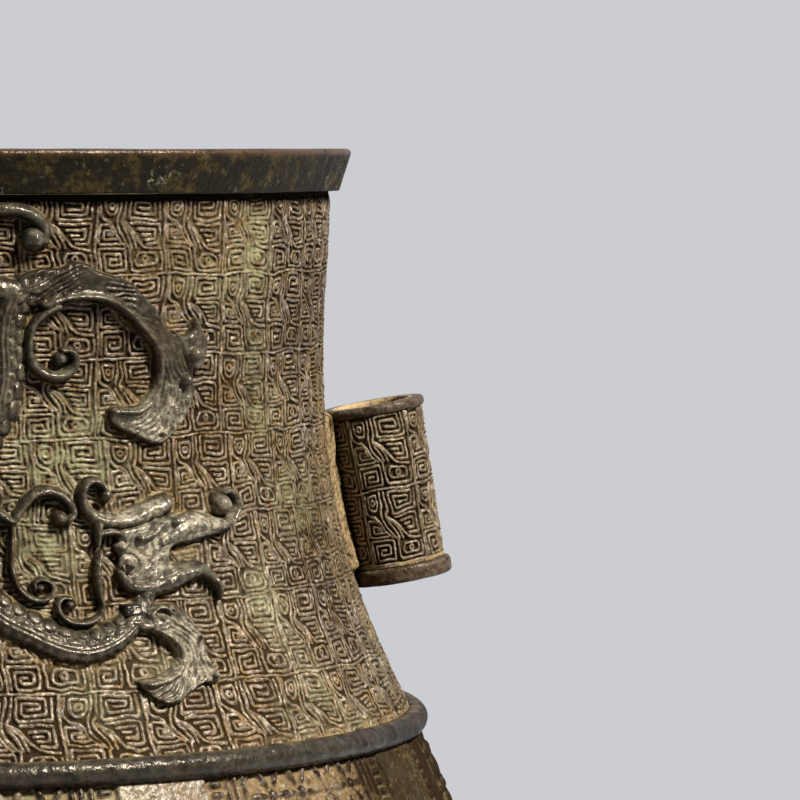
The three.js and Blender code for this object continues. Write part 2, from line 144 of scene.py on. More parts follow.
# How far the tube's lines stray, as (share of a tile, size in millimetres, seed of the noise)
TUBE_STRAY = (0.06, 3.0, 94)
TOP_COLLAR_RADIUS = 10.0
TOP_COLLAR_THICKNESS = 2.0
BOTTOM_COLLAR_RADIUS = 9.65
BOTTOM_COLLAR_THICKNESS = 3.2
COLLAR_ROUND = 0.85
COLLAR_SIDES = 220
COLLAR_STEP = 0.2
SADDLE_WIDTH = 5.2
SADDLE_BITE = 0.35
SADDLE_SUNK = 0.3
SADDLE_END_GAP = 0.3
SADDLE_ROWS = 90
SADDLE_COLUMNS = 48
OFF_WALL = 0.05
PACKED_REACH = 5.5
PACKED_SLOPE = 0.4
FAR_OFF = 60.0

# Fret ground
FRET_TILE = (13.86, 14.2)
FRET_DEPTH = 0.45
FRET_LEVEL = 0.8
FRET_LINE = 0.29
FRET_FLANK = 0.1
FRET_PITCH = 0.94
FRET_TOP = 266.8
FRET_SHIFTS = (44.2, 44.6, 44.2, 46.1, 51.5, 52.0, 47.0)
FRET_COUNTS = (34, 34, 34, 34, 35, 35, 35)
FRET_CELLS = 360
FRET_POINT_STEP = 0.1
FRET_CORNER_REACH = 4
# How far a hand-cut line strays, as (distance, size in millimetres): a slow sway and a quick shake
FRET_STRAY = ((1.1, 7.0), (0.45, 1.9))

# Grid steps, fine on the side that the picture shows
FINE_STEP = 0.16
COARSE_STEP = 0.36
BELLY_STEPS = (0.5, 0.25)
BELLY_FINE_DEPTH = 15.0
OUTLINE_STEPS = {"rim": 0.25, "foot": 0.6}
ROUND_STEPS = {"belly": (0.27, 0.55), "rim": (0.4, 0.9), "ring": (0.5, 0.9), "foot": (0.9, 0.9)}
PICTURE_SIDE = (math.radians(-12), math.radians(98))

# Unevenness of the surfaces, as (depth, size in millimetres, seed of the noise)
FRET_CRUST = ((1.0, 1.2, 50),)
NECK_WEAR = ((0.6, 14.0, 41), (0.7, 2.0, 47))
NECK_DENTS = ((0.15, 6.0, 42), (0.26, 1.2, 48), (0.3, 0.6, 36))
PACKED_EDGE = ((2.4, 2.5, 46),)
PACKED_LUMPS = ((0.9, 1.6, 49),)
DRAGON_DENTS = ((0.5, 2.2, 31), (0.25, 1.0, 35))
TUBE_DENTS = ((0.15, 3.0, 91), (0.3, 0.8, 37))
PLAIN_STRIP_DENTS = ((0.5, 5.0, 52),)
RING_DUST_EDGE = ((1.6, 4.0, 63),)
SADDLE_LUMPS = ((0.8, 2.2, 97),)

# Unevenness of plain parts, as (depth, size in millimetres, seed, noise that lies on the outline)
CASTINGS = {
    "rim": (0.25, 12.0, 61, 1.0),
    "ring": (0.18, 12.0, 61, 1.0),
    "foot": (0.2, 12.0, 71, 0.9),
    "base": (-0.3, 9.0, 81, 0.0),
    "collar": (0.22, 3.0, 95, 0.8),
    "strip": (0.25, 9.0, 51, 0.7),
}

# Patches of patina, and of painted shade on the neck's sides, as (strength, size in millimetres, seed,
# where they begin, where they are full)
NECK_STAINS = (0.4, 12.0, 44, 0.5, 0.75)
NECK_GREENS = (0.35, 18.0, 43, 0.6, 0.8)
BELLY_GREENS = (0.4, 22.0, 53, 0.55, 0.75)
TUBE_GREENS = (0.3, 8.0, 92, 0.5, 0.7)
TUBE_STAINS = (0.2, 7.0, 93, 0.4, 0.7)
SIDE_STAIN_AND_SHADE_PATCHES = (1.0, 16.0, 45, 0.15, 0.45)

# Camera, worked out from the rim, the ring and the handle in the picture
CAMERA_DISTANCE = 922.7
CAMERA_LEVEL = 275.0
CAMERA_LENS = 221.19
CAMERA_SENSOR = 36.0
CAMERA_FAR_END = 20.0
IMAGE_SIZE = 800
AXIS_PIXEL = -74.6
HORIZON_PIXEL = 147.1


def smoothstep(low, high, value):
    share = np.clip((value - low) / (high - low), 0.0, 1.0)
    return share * share * (3.0 - 2.0 * share)


def hump(value):
    """1 at zero, falling as a parabola to 0 at one to either side."""
    return np.clip(1.0 - value ** 2, 0.0, 1.0)


def lattice(cells, seed):
    """A fixed value between 0 and 1 for each whole-number cell, by mixing its bits."""
    mixed = cells[0] * 374761393 + cells[1] * 668265263 + cells[2] * 2147483647 + seed * 974711
    mixed = (mixed ^ (mixed >> 13)) * 1274126177
    mixed = mixed ^ (mixed >> 16)
    return (mixed & 0xFFFF) / 65535.0


def noise(points, size, seed):
    """Smooth noise between 0 and 1 at points of shape (..., 3), with features of a size in millimetres."""
    scaled = np.asarray(points, dtype=np.float64) / size + NOISE_START
    base = np.floor(scaled).astype(np.int64)
    share = scaled - base
    share = share * share * (3.0 - 2.0 * share)
    total = 0.0
    for corner in np.ndindex(2, 2, 2):
        weight = 1.0
        for axis in range(3):
            weight = weight * (share[..., axis] if corner[axis] else 1.0 - share[..., axis])
        cells = [base[..., axis] + corner[axis] for axis in range(3)]
        total = total + weight * lattice(cells, seed)
    return total


def cloud(points, size, seed, octaves=3):
    """Noise with finer noise on it."""
    weights = [0.5 ** octave for octave in range(octaves)]
    total = 0.0
    for octave, weight in enumerate(weights):
        total = total + weight * noise(points, size * weight, seed + octave)
    return total / sum(weights)


def dents(points, listed):
    """Unevenness about zero, added up over a list of (depth, size in millimetres, seed)."""
    return sum(depth * (cloud(points, size, seed) - 0.5) for depth, size, seed in listed)


def waver(points, casting):
    """The slow unevenness of a plain part."""
    depth, size, seed, level = CASTINGS[casting]
    return depth * (cloud(points, size, seed) - level)


def patches(points, strength, size, seed, low, high):
    """Soft-edged patches of a size in millimetres, where the noise is high."""
    return strength * smoothstep(low, high, cloud(points, size, seed))


# Curves

def bezier(start, start_handle, end_handle, end, count):
    t = np.linspace(0.0, 1.0, count)[:, None]
    corners = [np.array(p, dtype=float) for p in (start, start_handle, end_handle, end)]
    weights = ((1 - t) ** 3, 3 * (1 - t) ** 2 * t, 3 * (1 - t) * t ** 2, t ** 3)
    return sum(weight * corner for weight, corner in zip(weights, corners))


def along_slope(point, slope, pull):
    return (point[0] - math.sin(slope) * pull, point[1] + math.cos(slope) * pull)


def arc(centre, radius, start, end, count):
    angles = np.radians(np.linspace(start, end, count))
    return np.stack([centre[0] + radius * np.cos(angles), centre[1] + radius * np.sin(angles)], axis=1)


def spaced(outline, step):
    """The outline with points a step apart."""
    outline = np.asarray(outline, dtype=float)
    lengths = np.concatenate([[0.0], np.cumsum(np.linalg.norm(np.diff(outline, axis=0), axis=1))])
    count = max(2, int(round(lengths[-1] / step)) + 1)
    at = np.linspace(0.0, lengths[-1], count)
    return np.stack([np.interp(at, lengths, values) for values in outline.T], axis=1)


def smooth_line(points, closed=False, per_span=14):
    """A smooth line through given points of any number of values, by Catmull-Rom spans."""
    points = np.asarray(points, dtype=float)
    if closed:
        padded = np.concatenate([points[-1:], points, points[:2]])
    else:
        padded = np.concatenate([2 * points[:1] - points[1:2], points, 2 * points[-1:] - points[-2:-1]])
    t = np.linspace(0.0, 1.0, per_span, endpoint=False)[:, None]
    spans = []
    for a, b, c, d in zip(padded, padded[1:], padded[2:], padded[3:]):
        spans.append(0.5 * (2 * b + (c - a) * t + (2 * a - 5 * b + 4 * c - d) * t ** 2
                            + (3 * b - a - 3 * c + d) * t ** 3))
    if not closed:
        spans.append(points[-1:])
    return np.concatenate(spans)


def rounded(line, step, reach):
    """A line with points a step apart and corners rounded over a few steps."""
    padded = np.pad(spaced(line, step), ((reach, reach), (0, 0)), mode="edge")
    weights = np.ones(2 * reach + 1) / (2 * reach + 1)
    return np.stack([np.convolve(values, weights, mode="valid") for values in padded.T], axis=1)


FOOT_CORNER = (FOOT_TOP_RADIUS, BELLY_BOTTOM)
SEAM_CORNER = (SEAM_RADIUS, SEAM)
NECK_LINE = np.concatenate([
    bezier(SEAM_CORNER, along_slope(SEAM_CORNER, SEAM_SLOPE, NECK_FOOT_PULL),
           (NECK_WAIST_RADIUS, NECK_WAIST - NECK_WAIST_PULL), (NECK_WAIST_RADIUS, NECK_WAIST), LONG_CURVE),
    bezier((NECK_WAIST_RADIUS, NECK_WAIST), (NECK_WAIST_RADIUS, NECK_WAIST + NECK_TOP_PULL),
           (NECK_TOP_RADIUS, RIM_BOTTOM - NECK_TOP_PULL), (NECK_TOP_RADIUS, RIM_BOTTOM), SHORT_CURVE)[1:],
])
BELLY_LINE = np.concatenate([
    bezier(FOOT_CORNER, along_slope(FOOT_CORNER, BELLY_FOOT_SLOPE, BELLY_FOOT_PULL),
           (BELLY_RADIUS, BELLY_WIDEST - BELLY_LOW_PULL), (BELLY_RADIUS, BELLY_WIDEST), LONG_CURVE),
    bezier((BELLY_RADIUS, BELLY_WIDEST), (BELLY_RADIUS, BELLY_WIDEST + BELLY_HIGH_PULL),
           along_slope(SEAM_CORNER, SEAM_SLOPE, -BELLY_TOP_PULL), SEAM_CORNER, LONG_CURVE)[1:],
])


def neck_radius(level):
    return np.interp(level, NECK_LINE[:, 1], NECK_LINE[:, 0])


# Meshes

def set_out(name, data):
    """An object with the given data, put into the scene."""
    thing = bpy.data.objects.new(name, data)
    bpy.context.collection.objects.link(thing)
    return thing


def set_down(name, points, faces, corner_uv, masks):
    """A mesh object from points in millimetres, four-cornered faces and named masks for its material."""
    mesh = bpy.data.meshes.new(name)
    mesh.vertices.add(len(points))
    mesh.vertices.foreach_set("co", (points * MM).astype(np.float32).ravel())
    mesh.loops.add(4 * len(faces))
    mesh.loops.foreach_set("vertex_index", faces.astype(np.int32).ravel())
    mesh.polygons.add(len(faces))
    mesh.polygons.foreach_set("loop_start", np.arange(0, 4 * len(faces), 4, dtype=np.int32))
    mesh.polygons.foreach_set("use_smooth", np.ones(len(faces), dtype=bool))
    layer = mesh.uv_layers.new(name="OFBake")
    layer.data.foreach_set("uv", corner_uv.astype(np.float32).ravel())
    for mask, values in masks.items():
        attribute = mesh.attributes.new(mask, "FLOAT", "POINT")
        attribute.data.foreach_set("value", np.asarray(values, dtype=np.float32).ravel())
    mesh.update()
    mesh.validate()
    return set_out(name, mesh)


def grid_faces(rows, columns, wrap_rows, wrap_columns):
    """Faces and their UV corners of a grid of points, joined round where it wraps."""
    row = np.arange(rows if wrap_rows else rows - 1)
    column = np.arange(columns if wrap_columns else columns - 1)
    row, column = (a.ravel() for a in np.meshgrid(row, column, indexing="ij"))
    next_row = (row + 1) % rows
    next_column = (column + 1) % columns
    faces = np.stack([row * columns + column, row * columns + next_column,
                      next_row * columns + next_column, next_row * columns + column], axis=1)
    u = np.stack([column, column + 1, column + 1, column], axis=1) / columns
    v = np.stack([row, row, row + 1, row + 1], axis=1) / rows
    return faces, np.stack([u, v], axis=2)


def girth_angles(radius, fine, coarse):
    """Angles round the vessel, closer together on the picture side."""
    start, end = PICTURE_SIDE
    near = np.arange(start, end, fine / radius)
    far = np.linspace(end, start + FULL_TURN, int((FULL_TURN - end + start) * radius / coarse))
    return np.concatenate([near, far[:-1]])


def placed(radius, angle, level):
    """Points at a radius, at an angle from the front towards +X, and at a level."""
    return np.stack(np.broadcast_arrays(radius * np.sin(angle), -radius * np.cos(angle), level), axis=-1)


def turned(outline, angles):
    """Points of an outline of radius and level turned round the axis."""
    return placed(outline[:, :1], angles, outline[:, 1:])


def outline_normals(outline):
    along = np.gradient(outline, axis=0)
    along /= np.linalg.norm(along, axis=1)[:, None]
    return np.stack([along[:, 1], -along[:, 0]], axis=1)


def shell(name, outside, inside, angles, lift, masks, seat=None, inner=None):
    """A turned wall: the outside outline going up, lifted by a relief, and the inside coming down.

    Masks hold INSIDE_MASK on the inside, or what inner says for each of them.
    """
    normals = outline_normals(outside)
    radius = outside[:, :1] + normals[:, :1] * lift
    level = outside[:, 1:] + normals[:, 1:] * lift
    inner_points = turned(np.asarray(inside, dtype=float), angles)
    points = np.concatenate([placed(radius, angles, level), inner_points])
    if seat is not None:
        points = seat(points)
    faces, corner_uv = grid_faces(points.shape[0], points.shape[1], True, True)
    full = {}
    for mask, values in masks.items():
        rest = np.full((len(inside), len(angles)), INSIDE_MASK if inner is None else inner.get(mask, 0.0))
        full[mask] = np.concatenate([np.broadcast_to(values, lift.shape), rest])
    return set_down(name, points.reshape(-1, 3), faces, corner_uv, full)


# Fret ground

def square_spiral(left, top, right, bottom):
    """A line that winds inwards clockwise from the bottom left corner of a box, down being positive."""
    points = [(left, bottom)]
    inset = 0.0
    while bottom - top > 2 * inset - 0.2:
        points += [(left + inset, top + inset), (right - inset, top + inset),
                   (right - inset, bottom - inset), (left + inset + FRET_PITCH, bottom - inset)]
        inset += FRET_PITCH
    return points[:-2]


def half_turned(line, middle):
    return [(2 * middle[0] - x, 2 * middle[1] - y) for x, y in line]


# The raised lines of one tile, as (across, down): two eyes joined by a slanting stroke, among spirals
FRET_LINES = [
    # First eye and the four strokes that lead away from it
    [(0.6, 0.3), (0.55, 3.7), (1.3, 4.4), (2.6, 4.8), (3.5, 5.8), (3.9, 6.9), (4.6, 7.8), (5.9, 8.9)],
    [(4.7, 0.3), (4.7, 2.6), (4.2, 3.9), (4.1, 5.2), (4.6, 6.6), (5.6, 7.8), (6.6, 9.0)],
    [(5.6, 0.3), (5.6, 3.6), (4.9, 4.7), (5.3, 5.7), (6.2, 6.9), (7.0, 8.1), (7.3, 9.1)],
    [(5.0, 4.7), (6.7, 5.7), (7.9, 6.9), (8.8, 8.2), (9.6, 9.1), (11.2, 9.5), (13.0, 9.7)],
    [(5.6, 5.2), (6.9, 6.5), (7.8, 7.8), (8.2, 9.2)],
    [(1.45, 0.9), (1.45, 2.8), (2.2, 3.6), (3.2, 3.7), (3.8, 2.8), (3.85, 0.9), (1.45, 0.9)],
    # Second eye
    [(6.9, 9.2), (6.8, 10.4), (7.2, 13.2), (12.8, 13.2), (13.1, 12.4), (13.0, 10.5)],
    [(8.5, 10.2), (11.5, 10.3), (12.1, 11.0), (12.0, 12.3), (8.3, 12.3), (7.8, 11.4), (8.5, 10.2)],
    # Spirals, the two beside the strokes cut off by them
    half_turned(square_spiral(6.5, 0.4, 12.8, 4.3), (9.65, 2.35)),
    square_spiral(0.7, 9.4, 5.9, 13.2),
    [(4.9, 8.6), (0.6, 8.6), (0.6, 5.35), (2.6, 5.35), (3.1, 6.2)],
    [(3.4, 6.6), (1.5, 6.3), (1.5, 7.75), (4.2, 7.75)],
    [(2.3, 7.05), (3.5, 7.1)],
    [(6.9, 5.0), (12.7, 5.1), (12.7, 8.7), (10.0, 8.5)],
    [(8.3, 6.0), (11.8, 6.0), (11.8, 7.8), (9.7, 7.7)],
    [(9.2, 6.9), (10.9, 6.9)],
    # Frame of the tile
    [(0.0, -1.0), (0.0, 15.0)],
    [(13.86, -1.0), (13.86, 15.0)],
    [(-1.0, 14.0), (15.0, 14.0)],
]
FRET_EYES = [(2.65, 2.15), (9.95, 11.3)]
EYE_RING = 0.48


def fret_picture():
    """The height of one tile, 0 in the grooves and 1 on the lines, on a fine square raster."""
    middles = (np.arange(FRET_CELLS) + 0.5) / FRET_CELLS
    x, y = np.meshgrid(middles * FRET_TILE[0], middles * FRET_TILE[1])
    near = np.full(x.shape, FAR_OFF)
    for line in FRET_LINES:
        for x0, y0 in rounded(line, FRET_POINT_STEP, FRET_CORNER_REACH):
            near = np.minimum(near, np.hypot(x - x0, y - y0))
    for x0, y0 in FRET_EYES:
        near = np.minimum(near, np.abs(np.hypot(x - x0, y - y0) - EYE_RING))
    return 1.0 - smoothstep(FRET_LINE - FRET_FLANK, FRET_LINE + FRET_FLANK, near)


FRET = fret_picture()


def fret_at(across, down):
    """The tile's height at shares of a tile across and down, repeating."""
    column = np.mod(across, 1.0) * FRET_CELLS - 0.5
    row = np.mod(down, 1.0) * FRET_CELLS - 0.5
    column0 = np.floor(column).astype(int)
    row0 = np.floor(row).astype(int)
    x = column - column0
    y = row - row0
    total = 0.0
    for row_step, row_weight in ((0, 1 - y), (1, y)):
        for column_step, column_weight in ((0, 1 - x), (1, x)):
            values = FRET[(row0 + row_step) % FRET_CELLS, (column0 + column_step) % FRET_CELLS]
            total = total + row_weight * column_weight * values
    return total


def stray(points, seeds):
    """How far hand-cut lines stray at points of the neck."""
    return sum(reach * (noise(points, size, seed) - 0.5) for (reach, size), seed in zip(FRET_STRAY, seeds))


def neck_fret(around, level, points):
    """The fret over the neck: bands of tiles, each band set in its own place."""
    around = around + stray(points, (11, 13))
    down = FRET_TOP - level + stray(points, (12, 14))
    band = np.clip(np.floor(down / FRET_TILE[1]).astype(int), 0, len(FRET_SHIFTS) - 1)
    tile = FULL_TURN * GIRTH_RADIUS / np.array(FRET_COUNTS)[band]
    return fret_at((around - np.array(FRET_SHIFTS)[band]) / tile, down / FRET_TILE[1])


# Dragons: strokes and plates on the unrolled neck, as [distance round, height over the table, width]

STROKES = {
    "trunk": [
        [38.5, 200.4, 4], [36.6, 196.6, 4.4], [34.2, 193.6, 4.8], [30.2, 190.6, 5.8], [25.6, 189.2, 6.6],
        [21.2, 190, 7], [16.6, 192.4, 7.2], [11.8, 195.2, 7], [7.6, 199.5, 6.8], [5, 206, 6.6],
        [4.6, 213, 6.6], [6.4, 220, 6.8], [10.2, 225.6, 7], [13.2, 231, 7], [14.2, 237, 7.2],
        [14, 243.5, 7.4], [15.6, 249, 7.4], [19.5, 251, 6],
    ],
    "tail": [
        [15, 250, 5.4], [9.6, 252, 4.2], [6.2, 256.4, 3.4], [6.6, 261.4, 3], [10.4, 264, 2.9],
        [15.4, 264.4, 2.9], [18.6, 263.2, 2.9], [20.3, 261, 2.8], [20.2, 259, 2.6],
    ],
    "hind_curl": [
        [23, 247.6, 1.9], [20.4, 246.4, 2], [18.5, 244.4, 2], [17.8, 241.5, 2.1], [18.1, 238.8, 2.3],
        [19.5, 236.7, 2.5], [21.9, 235.6, 2.6], [24.3, 235.8, 2.5], [26, 237.3, 2.3], [26.2, 238.9, 2],
        [25.2, 239.9, 1.7], [23.9, 240, 1.5],
    ],
    "shoulder_curl": [
        [6, 214.5, 2.8], [10, 213.6, 2.1], [13, 211.6, 1.9], [14.4, 210.8, 1.8], [15.4, 212.1, 2],
        [16.9, 214.1, 2.2], [18.6, 215.4, 2.3], [20.8, 215.8, 2.3], [23, 215, 2.2], [24.6, 213.3, 2.1],
        [24.9, 211.8, 2], [24, 210.8, 1.8],
    ],
    "chest_curl": [
        [14.3, 210.4, 1], [14.3, 209, 1.1], [14.1, 206.5, 1.2], [13.9, 203.5, 1.2], [14.4, 200.8, 1.3],
        [15.6, 198.6, 1.4], [17.5, 197.4, 1.4], [19.4, 197.5, 1.4], [20.4, 198.7, 1.3],
        [20.2, 200.2, 1.1], [18.8, 200.8, 1.1], [17.6, 200.3, 1], [17.5, 199.2, 1],
    ],
    "horn": [
        [31.2, 215, 1.8], [30.6, 216.6, 1.8], [29.2, 217.3, 1.8], [27.8, 216.9, 2], [26.9, 215.3, 2.2],
        [27, 213.4, 2.4], [28, 211.8, 2.7], [29.7, 210.7, 2.9], [32, 210.2, 3.1], [34.8, 210.4, 3.4],
        [37.4, 211, 3.8], [40, 211.9, 4.2], [42, 212.7, 4.3], [42.9, 213, 4],
    ],
    "horn_root": [
        [29.5, 210.6, 2.4], [29.3, 208.4, 1.9], [29.1, 206.4, 1.2],
    ],
    "mane": [
        [29.6, 205.2, 0.8], [28.8, 203.6, 1.6], [28.3, 201, 1.9], [28.4, 198.2, 1.7], [28.7, 196.2, 1.4],
        [28.2, 194.6, 1.3], [26.8, 193.6, 1.3], [25, 193.2, 1.4], [22.8, 193.6, 1.4], [21.4, 195, 1.4],
        [21.2, 196.5, 1.3], [22.1, 197.5, 1.1], [23.6, 197.3, 1], [24.1, 196.3, 0.9],
    ],
    "cheek_curl": [
        [29.6, 208.2, 1.7], [31.6, 208.5, 1.8], [33.4, 207.9, 1.8], [34.2, 206.6, 1.8],
        [33.6, 205.7, 1.8],
    ],
    "brow": [
        [40.6, 209.4, 2.6], [39.2, 208.2, 2.4], [37.6, 207.5, 2.2], [36.4, 207.3, 2.4],
    ],
    "snout": [
        [41, 206.4, 3], [45.4, 208.2, 4.4], [49.4, 208.9, 4.6], [53, 208.6, 3.4], [56, 208.8, 2.5],
        [58, 210.1, 2.3], [58.9, 211.8, 2.2], [58.5, 213.5, 2.1], [57.2, 214.4, 1.9], [55.8, 214.3, 1.7],
    ],
    "jaw": [
        [33, 202.6, 1.6], [32.9, 200.9, 2.4], [34.2, 199.3, 3.2], [37.6, 198.8, 4], [41.6, 199.6, 4.4],
        [45.6, 200.9, 4], [49, 200.9, 3.4], [51, 199.4, 2.6], [51.7, 197.6, 1.8], [51.5, 196, 0.9],
    ],
    "claw_ring": [
        [40.6, 194.2, 1.2], [39.6, 195.2, 1.2], [38.2, 195.2, 1.2], [37, 194.2, 1.2], [36.9, 192.8, 1.2],
        [38, 191.8, 1.2], [39.4, 192, 1], [40, 193.2, 0.9],
    ],
    "shoulder": [
        [33.6, 193, 3.4], [36.2, 192.4, 2.8], [39.5, 193, 3.4],
    ],
}
PLATES = {
    "head": [
        [32.6, 208.6], [36, 209.6], [40, 210.4], [43.4, 210.8], [45.4, 210.9], [47.8, 211.4], [50.8, 211],
        [54, 209.8], [56, 208.6], [54.2, 207], [50.4, 206.4], [46.9, 205.7], [44, 205.4], [42.7, 204.2],
        [43.2, 202.5], [46, 203], [49.4, 202.6], [51.2, 200.8], [49, 200.3], [46.4, 200.4], [43.4, 199.6],
        [40.5, 199], [37.4, 198.8], [34.6, 199.4], [32.8, 200.6], [32, 202], [32.4, 204.6],
    ],
    "hind_leg": [
        [15.8, 251.6], [16.8, 253.4], [19.6, 254.4], [22.9, 254.4], [25.4, 255.5], [28, 255.3],
        [30.4, 253.9], [33.6, 253], [36.6, 251.9], [39.2, 249.8], [41.6, 247.8], [43.2, 245.6],
        [45, 243.4], [47.4, 242.3], [50.2, 241.2], [51.2, 238.5], [50.6, 235.4], [50.9, 232.4],
        [49.8, 229.6], [48, 227], [45.6, 224.7], [43.2, 223.3], [40.4, 223.4], [37.2, 224.7],
        [34.2, 225.9], [32.3, 227.6], [32.3, 229.2], [33.6, 230.2], [37.6, 230.2], [40.2, 231.8],
        [41.5, 234.4], [41.7, 237.6], [40.9, 240.2], [38.4, 242.9], [35, 246], [31.6, 247.8], [28, 248.3],
        [24, 248], [20.6, 246.8],
    ],
    "heel": [
        [45.4, 243.2], [48.2, 242.5], [49.8, 243.4], [50.6, 245.2], [51.6, 245], [52.6, 243.2],
        [53.9, 241.4], [53.9, 239.2], [52.9, 236.8], [51.2, 235.6], [49.6, 236.4], [47.6, 239],
    ],
    "foreleg": [
        [36.6, 191], [36.6, 193.5], [38.2, 195.6], [41.4, 195.8], [43.9, 194.4], [45.7, 191.8],
        [46.6, 189], [46.8, 186.4], [47.7, 183.8], [47.6, 182], [44.6, 181.7], [41.9, 180.6],
        [39.8, 179.2], [37.4, 178.7], [35, 179.8], [33.3, 181.5], [32.8, 183.2], [34.8, 183.6], [37, 184],
        [39, 184.9], [40.2, 186.4], [40.1, 188.2], [38.9, 189.6],
    ],
}
# The edges that the grooves of a leg fan out from, which are the inner parts of its outline
GRAIN_EDGES = {
    "hind_leg": PLATES["hind_leg"][:-13:-1],
    "foreleg": PLATES["foreleg"][:1] + PLATES["foreleg"][:-7:-1],
}
# Beads and bosses, as (distance round, height over the table, radius, rise)
BALLS = [
    (18.5, 259.4, 2.5, 2.9), (50.1, 238.8, 2.2, 3.2), (48.3, 234.3, 1.7, 2.8), (23.5, 238.6, 1.5, 2.4),
    (22.6, 211.2, 1.6, 2.4), (18.5, 199.4, 1, 1.8), (23.2, 196.4, 1, 1.8), (31.1, 214.9, 1.5, 2.5),
    (36.6, 207.2, 1.5, 2.9), (33.2, 205.7, 1.4, 2.6), (34.1, 202.8, 1.5, 3.3), (55.6, 212.2, 2.3, 2.9),
    (44, 209.9, 1.5, 2.9), (38.6, 193.4, 0.9, 2.9), (45.4, 190, 0.8, 2.5), (46.6, 183.4, 1.2, 2.5),
    (43.2, 225.2, 1, 2.1), (34.6, 193, 1.2, 2.5), (42.8, 213.1, 1.9, 2.5),
]
# Where the unrolled neck is looked at: distances round and heights
DRAGON_SPAN = ((0.8, 61.5), (177.5, 266.4))
EYE = (34.1, 202.8)
EYE_MOAT = (1.8, 0.3, 0.4)
SLOT = (34.3, 195.1)
SLOT_HALF = (2.2, 0.95)
SLOT_RISE = 2.2
STROKE_RISE = 2.3
RISES = {"trunk": 2.0, "claw_ring": 3.2, "brow": 3.2}
THIN_RISE = 0.35
RISE_PER_WIDTH = 0.36
SUNK = -0.7
UNDER = SUNK - 0.5
TOP_UV = 0.96
UNDER_UV = (0.97, 0.03)
CREST_RISE = 2.4
ROUNDING = 2.1
FLANK_FALL = 1.6
LINE_STEP = 0.3

# The skin of the body: scales on one side, a double line along the middle, bars on the other side
SCALED = "trunk"
SCALE_PITCH = (3.0, 2.4)
SCALE_RADIUS = 1.45
SCALE_DEPTH = 0.6
SCALE_LEVEL = 0.6
SCALE_STRAY = (0.8, 0.6)
DOUBLE_LINE_MIDDLE = 0.09
DOUBLE_LINE_GAP = 0.055
DOUBLE_LINE_HALF = 0.035
DOUBLE_LINE_RISE = 0.18
BAR_PITCH = 1.8
BAR_DEPTH = 0.25
SKIN_EDGE = 0.95

# Plates
PLATE_RISE = 1.7
PLATE_EDGE = 1.2
PLATE_ROUNDING = 2.4
PLATE_FALL = 3.2
PLATE_STEP = 0.25
PLATE_DENT = 0.3
EDGE_BEAD_HALF = 0.8
EDGE_BEAD_RISE = 0.75
HOLLOW_DEPTH = 0.35
GROOVE_DEPTH = 0.36
GROOVE_PITCH = 0.95
GROOVE_SLANT = 0.42
GROOVE_STRAY = 1.6


def bump_profile(q):
    """Height of a rounded section at q half-widths from its middle; it goes on down outside."""
    inside = 1.0 - np.minimum(q, 1.0) ** ROUNDING
    return inside - FLANK_FALL * (np.maximum(q, 1.0) - 1.0)


def flat(x, y):
    """Points of the unrolled neck, for noise."""
    return np.stack([x, y, 0 * x], axis=-1)


def wave(distance, pitch):
    """A wave between 0 and 1 along a distance."""
    return 0.5 + 0.5 * np.cos(FULL_TURN * distance / pitch)


def nearest(x, y, line):
    """The distance from the nearest point of a line, and its number; with a width, in half-widths."""
    half = 0.5 * line[:, 2] if line.shape[1] > 2 else np.ones(len(line))
    best = np.full(x.shape, np.inf)
    index = np.zeros(x.shape, dtype=int)
    for number, point in enumerate(line):
        distance = np.hypot(x - point[0], y - point[1]) / half[number]
        closer = distance < best
        best[closer] = distance[closer]
        index[closer] = number
    return best, index


def scales(run, side):
    """Rows of flat-topped scales at a run along the body and a distance to its side."""
    row = np.round(side / SCALE_PITCH[1])
    cell = run / SCALE_PITCH[0] + 0.5 * np.mod(row, 2)
    spot = np.hypot((cell - np.round(cell)) * SCALE_PITCH[0], side - row * SCALE_PITCH[1])
    return np.clip(1.0 - (spot / SCALE_RADIUS) ** 4, 0.0, 1.0)


def skin(x, y, line, best, index):
    """The carving of the body along its line."""
    ahead = np.gradient(line[:, :2], axis=0)
    ahead /= np.linalg.norm(ahead, axis=1)[:, None]
    side = (x - line[index, 0]) * -ahead[index, 1] + (y - line[index, 1]) * ahead[index, 0]
    share = side / line[index, 2]
    wander = noise(flat(x, y), 2.5, 22) - 0.5
    run = LINE_STEP * index
    scaly = scales(run + SCALE_STRAY[0] * wander, side + SCALE_STRAY[1] * wander) - SCALE_LEVEL
    scaly = scaly * smoothstep(0.0, -0.08, share) * (best < 0.92)
    double_line = hump((np.abs(share - DOUBLE_LINE_MIDDLE) - DOUBLE_LINE_GAP) / DOUBLE_LINE_HALF)
    bars = wave(run, BAR_PITCH) * smoothstep(0.16, 0.22, share)
    lines = DOUBLE_LINE_RISE * double_line - BAR_DEPTH * bars
    return SCALE_DEPTH * scaly + lines * (best < SKIN_EDGE)


def stroke_height(x, y, name, points):
    line = spaced(smooth_line(points), LINE_STEP)
    best, index = nearest(x, y, line)
    rise = RISES.get(name, STROKE_RISE) * np.minimum(1.0, THIN_RISE + RISE_PER_WIDTH * line[index, 2])
    height = rise * bump_profile(best)
    return height + skin(x, y, line, best, index) if name == SCALED else height


def inside_outline(x, y, outline):
    inside = np.zeros(x.shape, dtype=bool)
    ends = np.roll(outline, -1, axis=0)
    for (x0, y0), (x1, y1) in zip(outline, ends):
        crosses = (y0 > y) != (y1 > y)
        if crosses.any():
            reach = x0 + (y - y0) * (x1 - x0) / (y1 - y0 + 1e-12)
            inside ^= crosses & (x < reach)
    return inside


